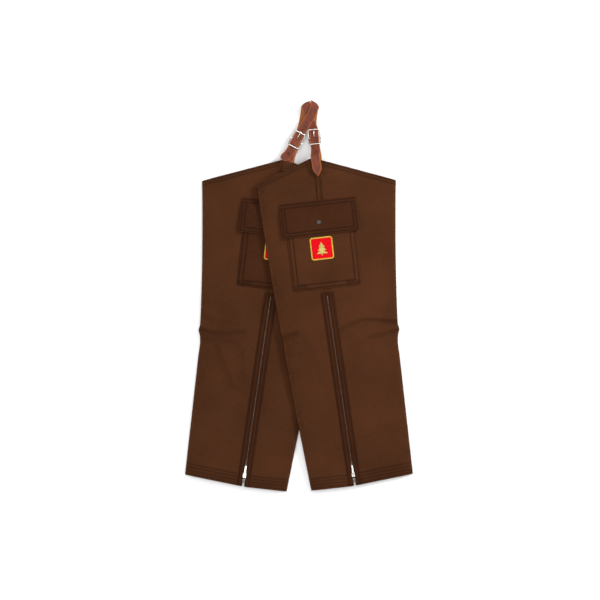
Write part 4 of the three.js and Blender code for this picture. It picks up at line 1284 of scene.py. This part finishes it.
def build_stitching(leg):
    name, surface = leg.side, leg.top
    lines = []
    for inset in TOP_ROWS:
        rear = [(top_line(v) + inset, v) for v in np.linspace(-REAR_TOP + 8, APEX_V - 2, 9)]
        front = [(top_line(v) + inset, v) for v in np.linspace(APEX_V + 2, FRONT_TOP - 9, 9)]
        lines += [[(float(u), float(v)) for u, v in rear], [(float(u), float(v)) for u, v in front]]
    for side in (-SEAM_ROW, SEAM_ROW):
        lines.append([(u, float(seam_line(u)) + side) for u in (58.0, 90.0, FLAP_TOP + 1)])
        lines.append([(u, float(seam_line(u)) + side) for u in (POCKET_BOTTOM + 2.0, ZIP_TOP - 6)])
    for inset in HEM_ROWS:
        rear = [(LEG_LENGTH - inset, v) for v in np.linspace(-REAR_HEM + 5, -8, 8)]
        front = [(LEG_LENGTH - HEM_RISE * v - inset, v) for v in np.linspace(14, FRONT_HEM - 5, 8)]
        lines += [rear, front]
    for k in range(4):
        lines.append([(ZIP_TOP - 3 + 1.5 * k, ZIP_TOP_V - 9), (ZIP_TOP - 3 + 1.5 * k, ZIP_TOP_V + 9)])
    paths = [surface_path(leg, surface, line) for line in lines]
    sewn = stitch_object(f"{name}_seam_stitching", paths, THREAD)
    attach(sewn, leg.body)

    def lip(u, v):
        return leg.top(u, v) + LIP_CLEARANCE + LIP_THICKNESS + 0.35

    places = np.linspace(ZIP_TOP + 4, SLIDER_U + 22, 16)
    inner = [zip_gap(u) + 3.6 for u in places]
    outer = [LIP_OUTER - 2.2] * len(places)
    lines = [[(u, float(seam_line(u) + side * offset)) for u, offset in zip(places, offsets)]
             for side in (-1, 1) for offsets in (inner, outer)]
    paths = [surface_path(leg, lip, line) for line in lines]
    sewn = stitch_object(f"{name}_lip_stitching", paths, THREAD)
    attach(sewn, leg.body)


# ---------------------------------------------------------------- assembly

for each in LEGS.values():
    build_shell(each)
    build_pocket(each)
    build_patch(each)
    build_zip(each)
    build_snap(each)
    build_stitching(each)
CHAPE_FLOOR = LEG_HEIGHT + 0.3 + CHAPE_THICKNESS / 2 + 0.3
build_buckle("left", (-30.5, 378, CHAPE_FLOOR), (-24, 398, CHAPE_FLOOR + 0.5), -14)
build_buckle("right", (49, 379, CHAPE_FLOOR + RAISE), (48.5, 402, CHAPE_FLOOR + RAISE + 0.8), 6)
for each in LEGS.values():
    build_tunnel(each)
build_straps()


# ---------------------------------------------------------------- stage

def area_light(name, place, target, size, energy, colour=(1, 1, 1)):
    data = bpy.data.lights.new(name, "AREA")
    data.shape, data.size, data.energy, data.color = "DISK", size, energy, colour
    light = bpy.data.objects.new(name, data)
    light.location = place
    light.rotation_euler = (Vector(target) - Vector(place)).to_track_quat("-Z", "Y").to_euler()
    bpy.context.scene.collection.objects.link(light)


floor_shader = Shader("floor_paper", 0.9, Specular_IOR_Level=0.1)
floor_shader.colour((0.9, 0.9, 0.9))
corners = [(-6, -6, -0.0006), (6, -6, -0.0006), (6, 6, -0.0006), (-6, 6, -0.0006)]
floor = new_object("floor", corners, [(0, 1, 2, 3)], floor_shader.material, smooth_shade=False)
floor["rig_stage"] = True

area_light("key", (2.1, 1.7, 2.2), (0, 0, 0), 0.9, 85)
area_light("fill", (-2.0, -1.6, 3.0), (0, 0, 0), 2.6, 48)
area_light("top", (0, 0.4, 4.2), (0, 0, 0), 3.0, 88)

world = bpy.data.worlds.new("studio")
world.use_nodes = True
world.node_tree.nodes["Background"].inputs["Color"].default_value = (1, 1, 1, 1)
world.node_tree.nodes["Background"].inputs["Strength"].default_value = 0.45
bpy.context.scene.world = world

CAMERA_HEIGHT, FRAME_WIDTH, SENSOR = 14.0, 1.710, 36.0
camera_data = bpy.data.cameras.new("camera")
camera_data.sensor_width = SENSOR
camera_data.lens = SENSOR * CAMERA_HEIGHT / FRAME_WIDTH
camera_data.clip_end = 50
camera = bpy.data.objects.new("camera", camera_data)
camera.location = (0.0030, -0.0120, CAMERA_HEIGHT)
bpy.context.scene.collection.objects.link(camera)
bpy.context.scene.camera = camera
bpy.context.scene.view_settings.view_transform = "Standard"


# ---------------------------------------------------------------- sizes

def visual_bounds():
    bpy.context.view_layer.update()
    low, high = np.full(3, 1e9), np.full(3, -1e9)
    for obj in bpy.context.scene.objects:
        if obj.type == "MESH" and not obj.hide_render and not obj.get("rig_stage"):
            matrix = np.array(obj.matrix_world)
            count = len(obj.data.vertices)
            flat = np.empty(count * 3)
            obj.data.vertices.foreach_get("co", flat)
            points = flat.reshape(-1, 3) @ matrix[:3, :3].T + matrix[:3, 3]
            low, high = np.minimum(low, points.min(0)), np.maximum(high, points.max(0))
    return [low.tolist(), high.tolist()]


sizes = {"cad": [list(map(float, corner)) for corner in cad_bounds], "visual": visual_bounds()}
